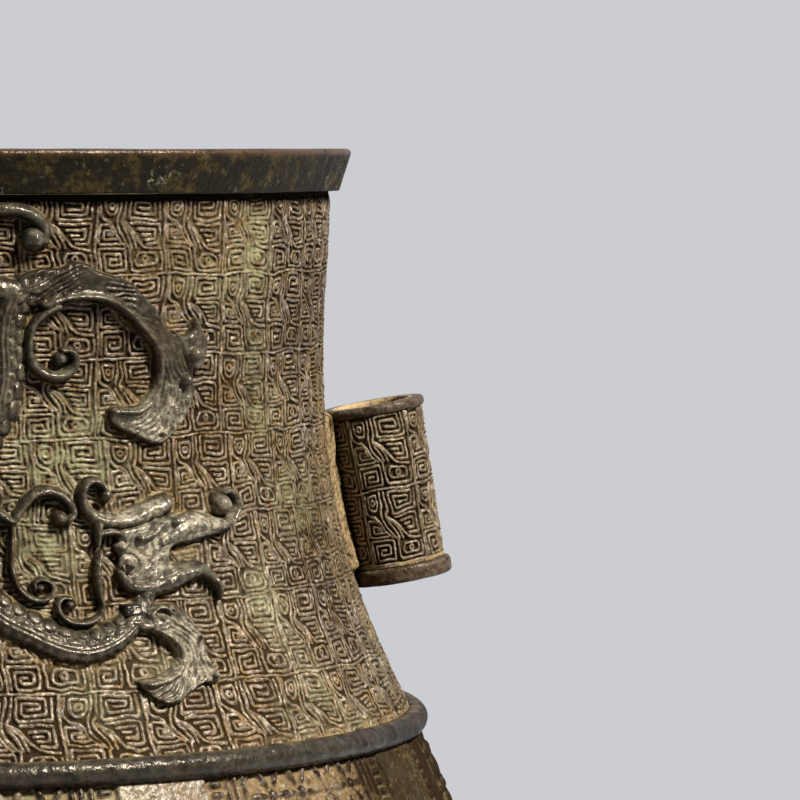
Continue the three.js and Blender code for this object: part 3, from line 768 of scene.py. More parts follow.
def plate_height(x, y, outline, grain):
    """A leaf-like plate with a rounded edge; a grain edge has a bead along it and grooves that fan out."""
    edge = spaced(np.concatenate([smooth_line(outline, closed=True), [outline[0]]]), PLATE_STEP)
    inside = inside_outline(x, y, edge)
    distance = nearest(x, y, edge)[0]
    edge_round = 1.0 - (1.0 - np.minimum(distance / PLATE_EDGE, 1.0)) ** PLATE_ROUNDING
    height = np.where(inside, PLATE_RISE * edge_round, -PLATE_FALL * distance)
    wander = noise(flat(x, y), 3.0, 21) - 0.5
    if grain is None:
        return height + inside * PLATE_DENT * wander
    from_grain, index = nearest(x, y, spaced(smooth_line(grain), PLATE_STEP))
    bead = hump((from_grain - EDGE_BEAD_HALF) / EDGE_BEAD_HALF)
    hollow = smoothstep(1.4, 2.4, from_grain) * smoothstep(0.4, 1.4, distance)
    groove = wave(from_grain - GROOVE_SLANT * PLATE_STEP * index + GROOVE_STRAY * wander, GROOVE_PITCH)
    broken = smoothstep(0.15, 0.5, noise(flat(x, y), 5.0, 23))
    grooved = smoothstep(0.3, 0.8, distance) * smoothstep(1.4, 1.9, from_grain) * broken
    carving = EDGE_BEAD_RISE * bead * edge_round - HOLLOW_DEPTH * hollow - GROOVE_DEPTH * groove * grooved
    return height + inside * carving


def ball_height(x, y, ball):
    x0, y0, radius, rise = ball
    return rise * bump_profile(np.hypot(x - x0, y - y0) / radius)


def window_of(x, y, points, margin):
    """The rows and columns of a grid that lie round some points."""
    points = np.asarray(points, dtype=float)
    window = []
    for values, axis in ((y[:, 0], 1), (x[0], 0)):
        low = points[:, axis].min() - margin
        high = points[:, axis].max() + margin
        inside = np.nonzero((values > low) & (values < high))[0]
        window.append(slice(inside[0], inside[-1] + 1))
    return tuple(window)


def dragon_relief(x, y):
    """Height of the dragon over the neck at points of the unrolled neck; below zero away from it."""
    total = np.full(x.shape, -FAR_OFF)

    def merge(points, margin, height, *details):
        window = window_of(x, y, points, margin)
        total[window] = np.maximum(total[window], height(x[window], y[window], *details))

    for name, points in STROKES.items():
        merge(points, 4.5, stroke_height, name, points)
    for name, outline in PLATES.items():
        merge(outline, 2.0, plate_height, outline, GRAIN_EDGES.get(name))
    for ball in BALLS:
        merge([ball[:2]], ball[2] + 1.0, ball_height, ball)
    return total


def slot_share(x, y):
    """1 in the black slot behind the jaw, 0 outside it."""
    reach = np.maximum(np.abs(x - SLOT[0]) / SLOT_HALF[0], np.abs(y - SLOT[1]) / SLOT_HALF[1])
    return smoothstep(1.1, 0.8, reach)


def carved(x, y, height):
    """The relief with the moat round the eye and the raised black slot."""
    radius, half, depth = EYE_MOAT
    moat = hump((np.hypot(x - EYE[0], y - EYE[1]) - radius) / half)
    height = height - depth * moat * (height > 0.0)
    slot = slot_share(x, y)
    return np.where(slot > 0.0, np.maximum(height, SUNK + (SLOT_RISE - SUNK) * slot), height)


def dragon_grid(step):
    x, y = np.meshgrid(*(np.arange(low, high, step) for low, high in DRAGON_SPAN))
    return x, y, carved(x, y, dragon_relief(x, y))


def patch_faces(keep):
    """Top, under and side faces of the kept cells of a grid, as corners (row, column, under)."""
    rows, columns = np.nonzero(keep)
    around = ((0, 0), (0, 1), (1, 1), (1, 0))
    top = [(rows + row, columns + column, 0) for row, column in around]
    under = [(rows + row, columns + column, 1) for row, column in (around[0], *around[:0:-1])]
    quads = [top, under]
    padded = np.pad(keep, 1)
    height, width = keep.shape
    for (row_step, column_step), first, second in zip(
            ((-1, 0), (0, 1), (1, 0), (0, -1)), around, around[1:] + around[:1]):
        beside = padded[1 + row_step:height + 1 + row_step, 1 + column_step:width + 1 + column_step]
        edge_rows, edge_columns = np.nonzero(keep & ~beside)
        a = (edge_rows + first[0], edge_columns + first[1])
        b = (edge_rows + second[0], edge_columns + second[1])
        quads.append([(*a, 0), (*a, 1), (*b, 1), (*b, 0)])
    return quads


def dragon(name, grid, turn, mirror):
    """One raised dragon laid on the neck, closed underneath inside the wall."""
    x, y, height = grid
    raised = height > SUNK
    keep = raised[:-1, :-1] | raised[1:, :-1] | raised[:-1, 1:] | raised[1:, 1:]
    lift = np.maximum(height, SUNK) + dents(flat(x, y), DRAGON_DENTS)
    angle = mirror * x / GIRTH_RADIUS + turn
    layers = []
    for rise in (lift, UNDER):
        layers.append(placed(neck_radius(y) + rise, angle, y))
    points = np.stack(layers, axis=2).reshape(-1, 3)
    rows, columns = x.shape
    faces = []
    corner_uv = []
    for quad in patch_faces(keep):
        corners = [(row * columns + column) * 2 + under for row, column, under in quad]
        faces.append(np.stack(corners, axis=1))
        u = [column / columns * UNDER_UV[1] + UNDER_UV[0] if under else column / columns * TOP_UV
             for row, column, under in quad]
        v = [row / rows for row, column, under in quad]
        corner_uv.append(np.stack([np.stack(u, axis=1), np.stack(v, axis=1)], axis=2))
    faces = np.concatenate(faces)
    corner_uv = np.concatenate(corner_uv)
    if mirror < 0:
        faces = faces[:, ::-1]
        corner_uv = corner_uv[:, ::-1]
    used, faces = np.unique(faces, return_inverse=True)

    def both_layers(top, under):
        return np.stack([top, under], axis=2).reshape(-1)[used]

    # Painted shade under the jaw and over the hind leg (the shaded spots), and the black of the slot.
    soot_and_shade = np.maximum(slot_share(x, y), spots(x, y, SHADED_SPOTS))
    rub_and_light = spots(x, y, RUBBED_AND_LIT_SPOTS)
    crest = both_layers(lift, np.full(x.shape, SUNK))
    masks = {"crest": np.clip(crest / CREST_RISE, 0.0, 1.0), "wear": np.zeros(len(used)),
             "soot_and_shade": both_layers(soot_and_shade, soot_and_shade), "rub_and_light": both_layers(rub_and_light, rub_and_light)}
    return set_down(name, points[used], faces.reshape(-1, 4), corner_uv, masks)


# Belly panels

PANELS = 9
PANEL_PHASE = math.radians(25.6)
PANEL_EDGE = 0.004
PANEL_DEPTH = 0.9
PLAIN_HALF = math.radians(5.35)
BEAD_MIDDLE = math.radians(6.7)
BEAD_HALF = math.radians(0.95)
BEAD_PITCH = 1.75
BEAD_SHARE = 0.36
BORDER_LINES = (math.radians(8.2), math.radians(9.3), math.radians(10.4))
BORDER_LINE_REACH = 1.6 * 0.42
FLORAL_EDGE = (0.006, 0.012)
FLOWER_PITCH = 7.6
FLOWER_START = (1.1, -1.9)
FLOWER_RADIUS = BELLY_RADIUS * 0.93
BALL_RADIUS = 1.1
PETAL_HALF = (2.95, 0.75)
PETAL_POWER = 1.6
PETAL_RISE = 0.9


def flower_height(x, y):
    """Flower diaper: balls on a lattice of equal triangles with a leaf along each side."""
    x = x - FLOWER_START[0]
    y = y - FLOWER_START[1]
    rise = FLOWER_PITCH * math.sqrt(3) / 2
    row = np.floor(y / rise)
    height = np.zeros(x.shape)
    for row_step in (0, 1):
        level = (row + row_step) * rise
        run = x - 0.5 * FLOWER_PITCH * np.mod(row + row_step, 2)
        gap = np.hypot(run - np.round(run / FLOWER_PITCH) * FLOWER_PITCH, y - level)
        height = np.maximum(height, np.sqrt(hump(gap / BALL_RADIUS)))
    for slant in (0.0, math.pi / 3, -math.pi / 3):
        along = x * math.cos(slant) + y * math.sin(slant)
        across = -x * math.sin(slant) + y * math.cos(slant)
        line = np.round(across / rise)
        run = along - 0.5 * FLOWER_PITCH * (1 + np.mod(line, 2))
        place = run - np.round(run / FLOWER_PITCH) * FLOWER_PITCH
        leaf = 1.0
        for distance, half in zip((place, across - line * rise), PETAL_HALF):
            leaf = leaf - np.abs(distance / half) ** PETAL_POWER
        height = np.maximum(height, PETAL_RISE * np.sqrt(np.clip(leaf, 0.0, 1.0)))
    return height


def belly_relief(angles, level, radius):
    """Height of the belly's panels against the plain strips, and masks for their colours."""
    step = FULL_TURN / PANELS
    turn = np.abs(np.mod(angles - PANEL_PHASE + step / 2, step) - step / 2)
    signed = np.mod(angles - PANEL_PHASE, step) - step / 2
    plain = smoothstep(PLAIN_HALF + PANEL_EDGE, PLAIN_HALF - PANEL_EDGE, turn)
    floral = smoothstep(*(BORDER_LINES[-1] + edge for edge in FLORAL_EDGE), turn)
    lines = np.zeros(turn.shape)
    for middle in BORDER_LINES:
        lines = np.maximum(lines, hump((turn - middle) * radius / BORDER_LINE_REACH))
    bar = np.clip(1.0 - (np.abs(turn - BEAD_MIDDLE) / BEAD_HALF) ** 4, 0.0, 1.0)
    beads = np.sqrt(hump((np.mod(level / BEAD_PITCH, 1.0) - 0.5) / BEAD_SHARE)) * bar
    flowers = flower_height(signed * FLOWER_RADIUS, level) * floral
    raised = np.maximum.reduce([plain, 0.85 * lines, 0.9 * beads, 0.95 * flowers])
    return PANEL_DEPTH * (raised - 1.0), raised, plain


# Materials

WARM_GLOSS = (1.0, 0.83, 0.62, 1.0)
GLOSS_FADE = (0.45, 0.92, 1.0, 0.06)

# Colours of the ground
TOP_BROWNS = ((0.15, 0.11, 0.07), (0.12, 0.094, 0.066))
TOP_RUBBED_AND_LIT = (0.41, 0.33, 0.24)
FLANK_OCHRES = ((0.23, 0.142, 0.055), (0.16, 0.1, 0.042))
GROOVE_BROWNS = ((0.026, 0.015, 0.006), (0.02, 0.013, 0.007))
DIRT = (0.036, 0.021, 0.01)
EARTHS = ((0.31, 0.215, 0.1), (0.1, 0.066, 0.032))
VERDIGRIS = (0.29, 0.265, 0.14)
GROUND_DARK = (0.022, 0.013, 0.007)

# Colours of the dragons and the ring
BODY_BROWNS = ((0.03, 0.017, 0.008), (0.024, 0.022, 0.013))
OLIVE = (0.085, 0.076, 0.04)
BODY_RUBBED_AND_LIT = (0.36, 0.305, 0.21)
BODY_PITS = (0.008, 0.006, 0.004)
FOOT_EARTH = (0.28, 0.205, 0.098)
BODY_COPPER = (0.075, 0.036, 0.02)
DUST = (0.31, 0.215, 0.1)
SOOT_AND_SHADE = (0.006, 0.005, 0.004)

# Colours of the rim, the collars and the foot
OLIVE_BLACKS = ((0.013, 0.010, 0.006), (0.062, 0.043, 0.014))
GOLD_SPECK = (0.13, 0.112, 0.055)
VEIN = (0.2, 0.19, 0.12)
PLAIN_PITS = (0.006, 0.005, 0.0035)
PLAIN_RUBBED_AND_LIT = (0.26, 0.215, 0.16)
EDGE_COPPER = (0.055, 0.024, 0.009)
BORE_EARTH = (0.4, 0.28, 0.13)

# Colours of the solder
SOLDERS = ((0.38, 0.28, 0.14), (0.075, 0.05, 0.025))


class Shader:
    """A small helper to put the shader nodes of a material or a world together."""

    def __init__(self, owner, surface="Principled BSDF"):
        owner.use_nodes = True
        self.owner = owner
        self.nodes = owner.node_tree.nodes
        self.links = owner.node_tree.links
        self.surface = self.nodes[surface]

    def add(self, kind, **settings):
        node = self.nodes.new(kind)
        for name, value in settings.items():
            setattr(node, name, value)
        return node

    def put(self, socket, value):
        """Sets a socket to a constant or links it to another socket."""
        if isinstance(value, (int, float, tuple)):
            socket.default_value = value
        else:
            self.links.new(value, socket)

    def feed(self, node, **values):
        """Puts values into the sockets of a node, named with _ for a space."""
        for name, value in values.items():
            self.put(node.inputs[name.replace("_", " ")], value)

    def mask(self, name):
        return self.add("ShaderNodeAttribute", attribute_name=name).outputs["Fac"]

    def mottle(self, size, detail=4.0, roughness=0.55):
        """Noise between 0 and 1 with features of a size in millimetres."""
        place = self.add("ShaderNodeTexCoord").outputs["Object"]
        node = self.add("ShaderNodeTexNoise")
        self.feed(node, Vector=place, Scale=1.0 / (size * MM), Detail=detail, Roughness=roughness)
        return node.outputs["Fac"]

    def between(self, value, low, high, to_low=0.0, to_high=1.0):
        node = self.add("ShaderNodeMapRange", interpolation_type="SMOOTHSTEP")
        self.feed(node, Value=value, From_Min=low, From_Max=high, To_Min=to_low, To_Max=to_high)
        return node.outputs["Result"]

    def patches(self, size, low, high, detail=4.0, roughness=0.55):
        """Soft-edged patches of a size in millimetres, 1 where the noise is high."""
        return self.between(self.mottle(size, detail, roughness), low, high)

    def math(self, operation, first, second):
        node = self.add("ShaderNodeMath", operation=operation)
        self.put(node.inputs[0], first)
        self.put(node.inputs[1], second)
        return node.outputs["Value"]

    def product(self, first, *others):
        for other in others:
            first = self.math("MULTIPLY", first, other)
        return first

    def blend(self, share, first, second):
        """A colour between two colours."""
        node = self.add("ShaderNodeMix", data_type="RGBA")
        self.put(node.inputs["Factor"], share)
        for socket, value in zip(node.inputs[6:8], (first, second)):
            self.put(socket, (*value, 1.0) if isinstance(value, tuple) else value)
        return node.outputs[2]

    def cover(self, colour, paint, *shares):
        """The colour with paint over it, as far as the product of the shares says."""
        return self.blend(self.product(*shares), colour, paint)

    def bump(self, height, depth):
        node = self.add("ShaderNodeBump")
        self.feed(node, Distance=depth * MM, Height=height)
        self.feed(self.surface, Normal=node.outputs["Normal"])

    def gloss(self, level):
        """Sets the gloss, which fades where the surface turns away."""
        facing = self.add("ShaderNodeLayerWeight").outputs["Facing"]
        fade = self.between(facing, *GLOSS_FADE)
        self.feed(self.surface, Specular_IOR_Level=self.product(level, fade))

    def finish(self, colour, roughness):
        self.feed(self.surface, Base_Color=colour, Roughness=roughness, Metallic=0.0)
        self.feed(self.surface, Specular_Tint=WARM_GLOSS)
        return self.owner

    def seen(self):
        """1 for rays from the camera, in reflections and through glass, 0 for light on other things."""
        rays = self.add("ShaderNodeLightPath").outputs
        mirrored = self.math("MAXIMUM", rays["Is Camera Ray"], rays["Is Glossy Ray"])
        return self.math("MAXIMUM", mirrored, rays["Is Transmission Ray"])


def ground_material(name):
    """Worn bronze ground: brown line tops with pale worn spots and painted glints, ochre flanks, dark
    grooves, earth and verdigris.
    """
    shader = Shader(bpy.data.materials.new(name))
    drift = shader.patches(16.0, 0.35, 0.65)
    # Pale spots on the line tops: wear and painted glints, and painted light where the pieces ask for it
    # (the tube's side towards the neck).
    rubbed_and_lit = shader.math("MAXIMUM", shader.patches(1.3, 0.48, 0.66, roughness=0.6), shader.mask("rub_and_light"))
    chips = shader.between(shader.mottle(0.8), 0.2, 0.8, -0.25, 0.25)
    height = shader.math("ADD", shader.mask("line"), chips)
    top = shader.between(height, 0.66, 0.98)
    tops = shader.cover(shader.blend(drift, *TOP_BROWNS), TOP_RUBBED_AND_LIT, rubbed_and_lit)
    colour = shader.blend(drift, *GROOVE_BROWNS)
    colour = shader.cover(colour, shader.blend(drift, *FLANK_OCHRES), shader.between(height, 0.45, 0.72))
    colour = shader.cover(colour, tops, top)
    colour = shader.cover(colour, DIRT, shader.patches(2.4, 0.46, 0.66, 5.0, 0.65), 0.72)
    earth = shader.blend(shader.patches(0.55, 0.47, 0.6, roughness=0.7), *EARTHS)
    colour = shader.cover(colour, earth, shader.mask("earth"), shader.patches(3.0, 0.3, 0.6),
                          shader.between(top, 0.0, 1.0, 1.0, 0.4))
    colour = shader.cover(colour, VERDIGRIS, shader.mask("verdigris"), shader.patches(2.2, 0.35, 0.62))
    # The dark mask: stains and patina, and painted shade where the pieces ask for it (under the rim, on the
    # neck's and belly's sides, in the tube's crook).
    colour = shader.cover(colour, GROUND_DARK, shader.mask("dark"), shader.patches(4.0, 0.25, 0.7),
                          shader.between(top, 0.0, 1.0, 1.0, 0.5))
    shader.bump(shader.mottle(1.0, 2.0), 0.22)
    shader.gloss(shader.between(top, 0.0, 1.0, 0.03, 0.32))
    return shader.finish(colour, shader.between(top, 0.0, 1.0, 0.8, 0.34))


def relief_material(name):
    """Handled dark bronze: brown black sides, grey tan tops that are partly worn pale and partly painted
    light, with a little earth along the foot.
    """
    shader = Shader(bpy.data.materials.new(name))
    crest = shader.mask("crest")
    rub_and_light = shader.mask("rub_and_light")
    olive = shader.between(shader.mottle(4.5, 4.0, 0.6), 0.5, 0.64, 0.0, 0.5)
    raised = shader.math("ADD", crest, shader.product(rub_and_light, 0.35))
    speck = shader.between(shader.patches(1.2, 0.40, 0.62, 5.0, 0.65), 0.0, 1.0, 0.2, 0.95)
    pits = shader.between(shader.mottle(1.4, 3.0), 0.5, 0.36, 0.0, 0.75)
    colour = shader.blend(shader.patches(7.0, 0.38, 0.62), *BODY_BROWNS)
    colour = shader.cover(colour, OLIVE, olive)
    # Painted light and wear: the higher the relief, and in the listed spots, the paler the tops.
    colour = shader.cover(colour, BODY_RUBBED_AND_LIT, shader.between(raised, 0.3, 0.85), speck,
                          shader.between(rub_and_light, 0.0, 1.0, 0.22, 1.0))
    colour = shader.cover(colour, BODY_PITS, pits, shader.between(rub_and_light, 0.0, 1.0, 1.0, 0.45))
    low = shader.between(crest, 0.34, 0.04)
    colour = shader.cover(colour, FOOT_EARTH, low, shader.patches(2.0, 0.4, 0.65))
    colour = shader.cover(colour, BODY_COPPER, shader.mask("wear"), shader.patches(3.0, 0.42, 0.62))
    colour = shader.cover(colour, DUST, shader.mask("dust"), shader.patches(1.5, 0.25, 0.5))
    # Soot and painted shade: the black slot, the dark of the ring, and shade painted under the jaw and over
    # the hind leg.
    colour = shader.cover(colour, SOOT_AND_SHADE, shader.mask("soot_and_shade"))
    shader.bump(shader.mottle(1.8, 3.0, 0.5), 0.4)
    shader.gloss(shader.between(crest, 0.2, 0.8, 0.03, 0.42))
    return shader.finish(colour, shader.between(shader.mottle(1.6), 0.3, 0.7, 0.2, 0.4))


def plain_material(name):
    """Plain olive black bronze with golden mottling and pale veins; copper shows where edges are worn."""
    shader = Shader(bpy.data.materials.new(name))
    wander = shader.math("ABSOLUTE", shader.math("SUBTRACT", shader.mottle(9.0, 5.0, 0.6), 0.5), 0.0)
    copper = shader.product(shader.mask("wear"), shader.patches(6.0, 0.2, 0.6))
    colour = shader.blend(shader.patches(5.0, 0.48, 0.66, 5.0, 0.65), *OLIVE_BLACKS)
    colour = shader.cover(colour, GOLD_SPECK, shader.patches(1.5, 0.56, 0.7, 5.0, 0.65), 0.5)
    colour = shader.cover(colour, VEIN, shader.between(wander, 0.01, 0.003), shader.patches(14.0, 0.5, 0.6))
    colour = shader.cover(colour, PLAIN_PITS, shader.patches(1.1, 0.5, 0.36, 3.0), 0.7)
    # Pale patches where the mask of rubbing and light asks for them: on the collars partly wear, partly
    # painted sheen.
    rubbed_and_lit = shader.patches(1.2, 0.4, 0.6, 5.0, 0.65)
    colour = shader.cover(colour, PLAIN_RUBBED_AND_LIT, shader.mask("rub_and_light"), rubbed_and_lit)
    colour = shader.cover(colour, EDGE_COPPER, copper)
    colour = shader.cover(colour, BORE_EARTH, shader.mask("earth"), shader.patches(2.0, 0.25, 0.5))
    shader.bump(shader.mottle(1.0), 0.3)
    shader.gloss(shader.between(copper, 0.0, 1.0, 0.07, 0.4))
    roughness = shader.between(shader.mottle(3.0), 0.3, 0.7, 0.3, 0.5)
    return shader.finish(colour, shader.product(roughness, shader.between(copper, 0.0, 1.0, 1.0, 0.6)))


def solder_material(name):
    """Old solder with ochre earth packed along it."""
    shader = Shader(bpy.data.materials.new(name))
    patch = shader.patches(0.65, 0.43, 0.62, 5.0, 0.7)
    shader.bump(shader.mottle(0.6), 0.4)
    return shader.finish(shader.blend(patch, *SOLDERS), shader.between(patch, 0.0, 1.0, 0.85, 0.65))


SLOTS = {
    "ground_bronze": ground_material("ground_bronze"),
    "relief_bronze": relief_material("relief_bronze"),
    "plain_bronze": plain_material("plain_bronze"),
    "solder": solder_material("handle_solder"),
}


def fit(piece, slot, *nodes):
    """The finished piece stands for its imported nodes."""
    piece.data.materials.append(SLOTS[slot])
    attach(piece, "root")
    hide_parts(*nodes)


# Patina, painted shade and painted light: where the picture shows them, as (round, height, reach round,
# reach up, strength)

VERDIGRIS_SPOTS = [
    (24, 221, 10, 8, 0.9), (20, 206, 7, 6, 0.7), (67, 257, 4, 8, 0.9), (68, 238, 4, 9, 0.5),
    (63, 196, 6, 5, 0.35), (80, 212, 9, 6, 0.5), (30, 226, 8, 5, 0.6), (70, 228, 6, 5, 0.5),
]
EARTH_SPOTS = [
    (64, 259, 5, 6, 0.7), (46, 244, 3, 2, 0.9), (47, 204, 4, 1.6, 1.0), (25, 242, 6, 4, 0.35),
    (38, 186, 3, 3, 0.6), (100, 212, 7, 16, 0.6), (84, SEAM + 1.2, 30, 2.0, 1.6), (48, 258, 14, 7, 0.45),
]
# Dark spots of the ground: darker patina on the left, painted shade further round on the right side, which
# turns from the key lamp.
DARK_AND_SHADE_SPOTS = [
    (92, 250, 12, 18, 0.7), (88, 205, 8, 10, 0.4), (108, 220, 10, 45, 0.6), (70, 242, 8, 10, 0.3),
    (23, 256, 5, 6, 0.5), (32, 242, 8, 5, 0.45),
]
# Pale tops on the dragons: partly worn, partly painted light on the horn, snout, legs and fans that face
# the key lamp.
RUBBED_AND_LIT_SPOTS = [
    (43, 228, 8, 6, 0.9), (36, 211.5, 9, 3, 1.0), (51, 209.5, 8, 5, 0.9), (42, 187, 9, 9, 1.0),
    (38, 205, 7, 5, 0.9),
]
SHADED_SPOTS = [
    (41, 198.8, 9, 1.5, 0.65), (24, 252.5, 11, 4, 0.5),
]


def spots(around, level, listed):
    total = np.zeros(np.broadcast(around, level).shape)
    for x0, y0, reach_x, reach_y, strength in listed:
        gap = ((around - x0) / reach_x) ** 2 + ((level - y0) / reach_y) ** 2
        total = np.maximum(total, strength * np.exp(-gap))
    return total


# Pieces

def make_neck(relief_grid):
    angles = girth_angles(GIRTH_RADIUS, FINE_STEP, COARSE_STEP)
    outside = spaced(NECK_LINE, FINE_STEP)
    points = turned(outside, angles)
    level = points[..., 2]
    around = np.broadcast_to(angles * GIRTH_RADIUS, level.shape)
    fret = np.clip(neck_fret(around, level, points) + dents(points, FRET_CRUST), 0.0, 1.0)
    verdigris = spots(around, level, VERDIGRIS_SPOTS)
    worn = FRET_LEVEL + dents(points, NECK_WEAR) - 0.3 * verdigris
    edge = smoothstep(0.0, 1.2, level - SEAM) * smoothstep(0.3, 1.5, RIM_BOTTOM - level)
    lift = FRET_DEPTH * (fret * worn * edge - FRET_LEVEL) + dents(points, NECK_DENTS)
    gap = handle_gap(points)
    packed = smoothstep(PACKED_REACH + 0.5, PACKED_REACH - 0.7, gap + dents(points, PACKED_EDGE))
    fillet = PACKED_SLOPE * np.maximum(PACKED_REACH - gap, 0.0) + dents(points, PACKED_LUMPS)
    lift = lift + packed * (fillet - lift)
    near = dragon_nearness(around, level, relief_grid)
    earth = np.maximum(spots(around, level, EARTH_SPOTS), 0.55 * near)
    # Painted shade: the neck darkens in patches on its sides that turn from the key lamp, and in the listed
    # dark spots.
    dark = np.maximum(spots(around, level, DARK_AND_SHADE_SPOTS), 0.6 * side_stain_and_shade(points))
    dark = dark + patches(points, *NECK_STAINS)
    # Painted shade: a dark band on the neck just under the rim, where the rim's overhang shades it.
    dark = dark + 2.0 * smoothstep(RIM_BOTTOM - 3.2, RIM_BOTTOM - 1.2, level)
    masks = {
        "line": fret * edge * np.clip(0.35 + 0.8 * worn, 0.0, 1.1) * (1.0 - 0.5 * packed),
        "verdigris": 1.1 * verdigris + patches(points, *NECK_GREENS),
        "earth": np.maximum(earth, 1.3 * packed),
        "dark": dark * (1.0 - packed),
    }
    inside = spaced(NECK_LINE - [NECK_WALL, 0.0], INSIDE_STEP)[::-1]
    fit(shell("neck", outside, inside, angles, lift, masks), "ground_bronze", "neck_shell")


def dragon_nearness(around, level, grid):
    """1 at the foot of a dragon's edge, falling to 0 a little way off, for all four dragons."""
    x, y, height = grid
    half_turn = math.pi * GIRTH_RADIUS
    quarter = np.abs(np.mod(around + half_turn / 2, half_turn) - half_turn / 2)
    column, row = (
        np.clip(((place - line[0]) / (line[1] - line[0])).round().astype(int), 0, len(line) - 1)
        for place, line in ((quarter, x[0]), (level, y[:, 0])))
    return smoothstep(-2.2, -0.3, height[row, column]) * (quarter < x[0, -1])


def handle_gap(points):
    """The distance from a handle's tube, made very long past the tube's ends."""
    along = (points[..., 2] - HANDLE_LEVEL) / math.cos(HANDLE_TILT)
    axis = HANDLE_REACH - along * math.sin(HANDLE_TILT)
    past = smoothstep(0.46, 0.62, np.abs(along) / TUBE_LENGTH) ** 3
    return np.hypot(np.abs(points[..., 0]) - axis, points[..., 1]) - tube_radius(along) + FAR_OFF * past


def side_stain_and_shade(points):
    """Darkening in patches, strongest towards the handles: painted shade on the neck's sides that turn from
    the key lamp, copper stains on the ring.
    """
    side = np.abs(points[..., 0]) / np.hypot(points[..., 0], points[..., 1])
    return smoothstep(0.8, 1.0, side) * patches(points, *SIDE_STAIN_AND_SHADE_PATCHES)


def make_belly():
    angles = girth_angles(BELLY_RADIUS, *ROUND_STEPS["belly"])
    top = BELLY_LINE[:, 1] > SEAM - BELLY_FINE_DEPTH
    parts = zip((~top, top), BELLY_STEPS)
    outside = np.concatenate([spaced(BELLY_LINE[part], step) for part, step in parts])
    points = turned(outside, angles)
    level = points[..., 2]
    radius = outside[:, 0][:, None]
    lift, raised, plain = belly_relief(np.broadcast_to(angles, level.shape), level, radius)
    edge = smoothstep(BELLY_BOTTOM + 4.0, BELLY_BOTTOM + 5.0, level)
    shaded = smoothstep(0.76, 0.88, np.abs(points[..., 0]) / radius)
    lift = lift * edge + waver(points, "strip") * plain - BELLY_INSET
    line = np.where(plain > 0.5, 0.95 + dents(points, PLAIN_STRIP_DENTS), 0.75 + 0.15 * raised)
    masks = {
        "line": line * (1.0 - 0.58 * shaded),
        "verdigris": patches(points, *BELLY_GREENS) * (1.0 - 0.8 * shaded),
        "earth": 0.4 * smoothstep(0.5, 0.1, raised),
        "dark": 1.8 * smoothstep(0.3, 0.6, raised) * (1.0 - plain) + 0.3 * shaded,
    }
    inside = spaced(BELLY_LINE - [BELLY_WALL, 0.0], INSIDE_STEP)[::-1]
    fit(shell("belly", outside, inside, angles, lift, masks), "ground_bronze", "belly_shell")


def make_rim():
    lower = NECK_TOP_RADIUS + RIM_OVERHANG
    lip = RIM_TOP - LIP_ROUND
    inner = NECK_TOP_RADIUS - NECK_WALL
    seat = RIM_BOTTOM + RIM_SEAT_RISE
    outside = spaced(np.concatenate([
        [(NECK_TOP_RADIUS - RIM_SEAT_INSET, seat)],
        arc((lower - RIM_ROUND, RIM_BOTTOM + RIM_ROUND), RIM_ROUND, -90, -8, 10),
        arc((lower + RIM_FLARE - LIP_ROUND, lip), LIP_ROUND, 0, 90, 12),
        arc((inner + LIP_ROUND, lip), LIP_ROUND, 90, 180, 12),
    ]), OUTLINE_STEPS["rim"])
    inside = [(inner, RIM_BOTTOM + RIM_INSIDE_RISE), (inner, seat)]
    angles = girth_angles(lower, *ROUND_STEPS["rim"])
    points = turned(outside, angles)
    lift = waver(points, "rim")
    masks = {"wear": smoothstep(RIM_TOP - 2.0, RIM_TOP - 0.4, points[..., 2]), "rub_and_light": np.zeros(lift.shape)}
    fit(shell("rim", outside, inside, angles, lift, masks), "plain_bronze", "rim_collar")


def make_ring():
    up = RING_HALF_WIDTH * np.array([-math.sin(SEAM_SLOPE), math.cos(SEAM_SLOPE)])
    out = np.array([math.cos(SEAM_SLOPE), math.sin(SEAM_SLOPE)])
    bow = np.linspace(0.0, math.pi, RING_POINTS)[:, None]
    outside = SEAM_CORNER - np.cos(bow) * up + np.sin(bow) * RING_RISE * out
    inside = [SEAM_CORNER + end * up - RING_SUNK * out for end in (0.5, -0.5)]
    angles = girth_angles(SEAM_RADIUS, *ROUND_STEPS["ring"])
    points = turned(outside, angles)
    # On the ring the side patches lay copper stains and leave the sides less pale and less glossy: stains
    # and painted shade.
    side_share = side_stain_and_shade(points)
    masks = {
        "wear": 0.5 * side_share,
        "crest": (0.35 + 0.4 * cloud(points, 3.0, 62)) * (1.0 - 0.5 * side_share),
        "soot_and_shade": np.full(side_share.shape, 0.6),
        "rub_and_light": 0.1 * (1.0 - side_share),
        "dust": smoothstep(SEAM + 2.1, SEAM + 2.9, points[..., 2] + dents(points, RING_DUST_EDGE)),
    }
    fit(shell("ring", outside, inside, angles, waver(points, "ring"), masks), "relief_bronze", "neck_ring")


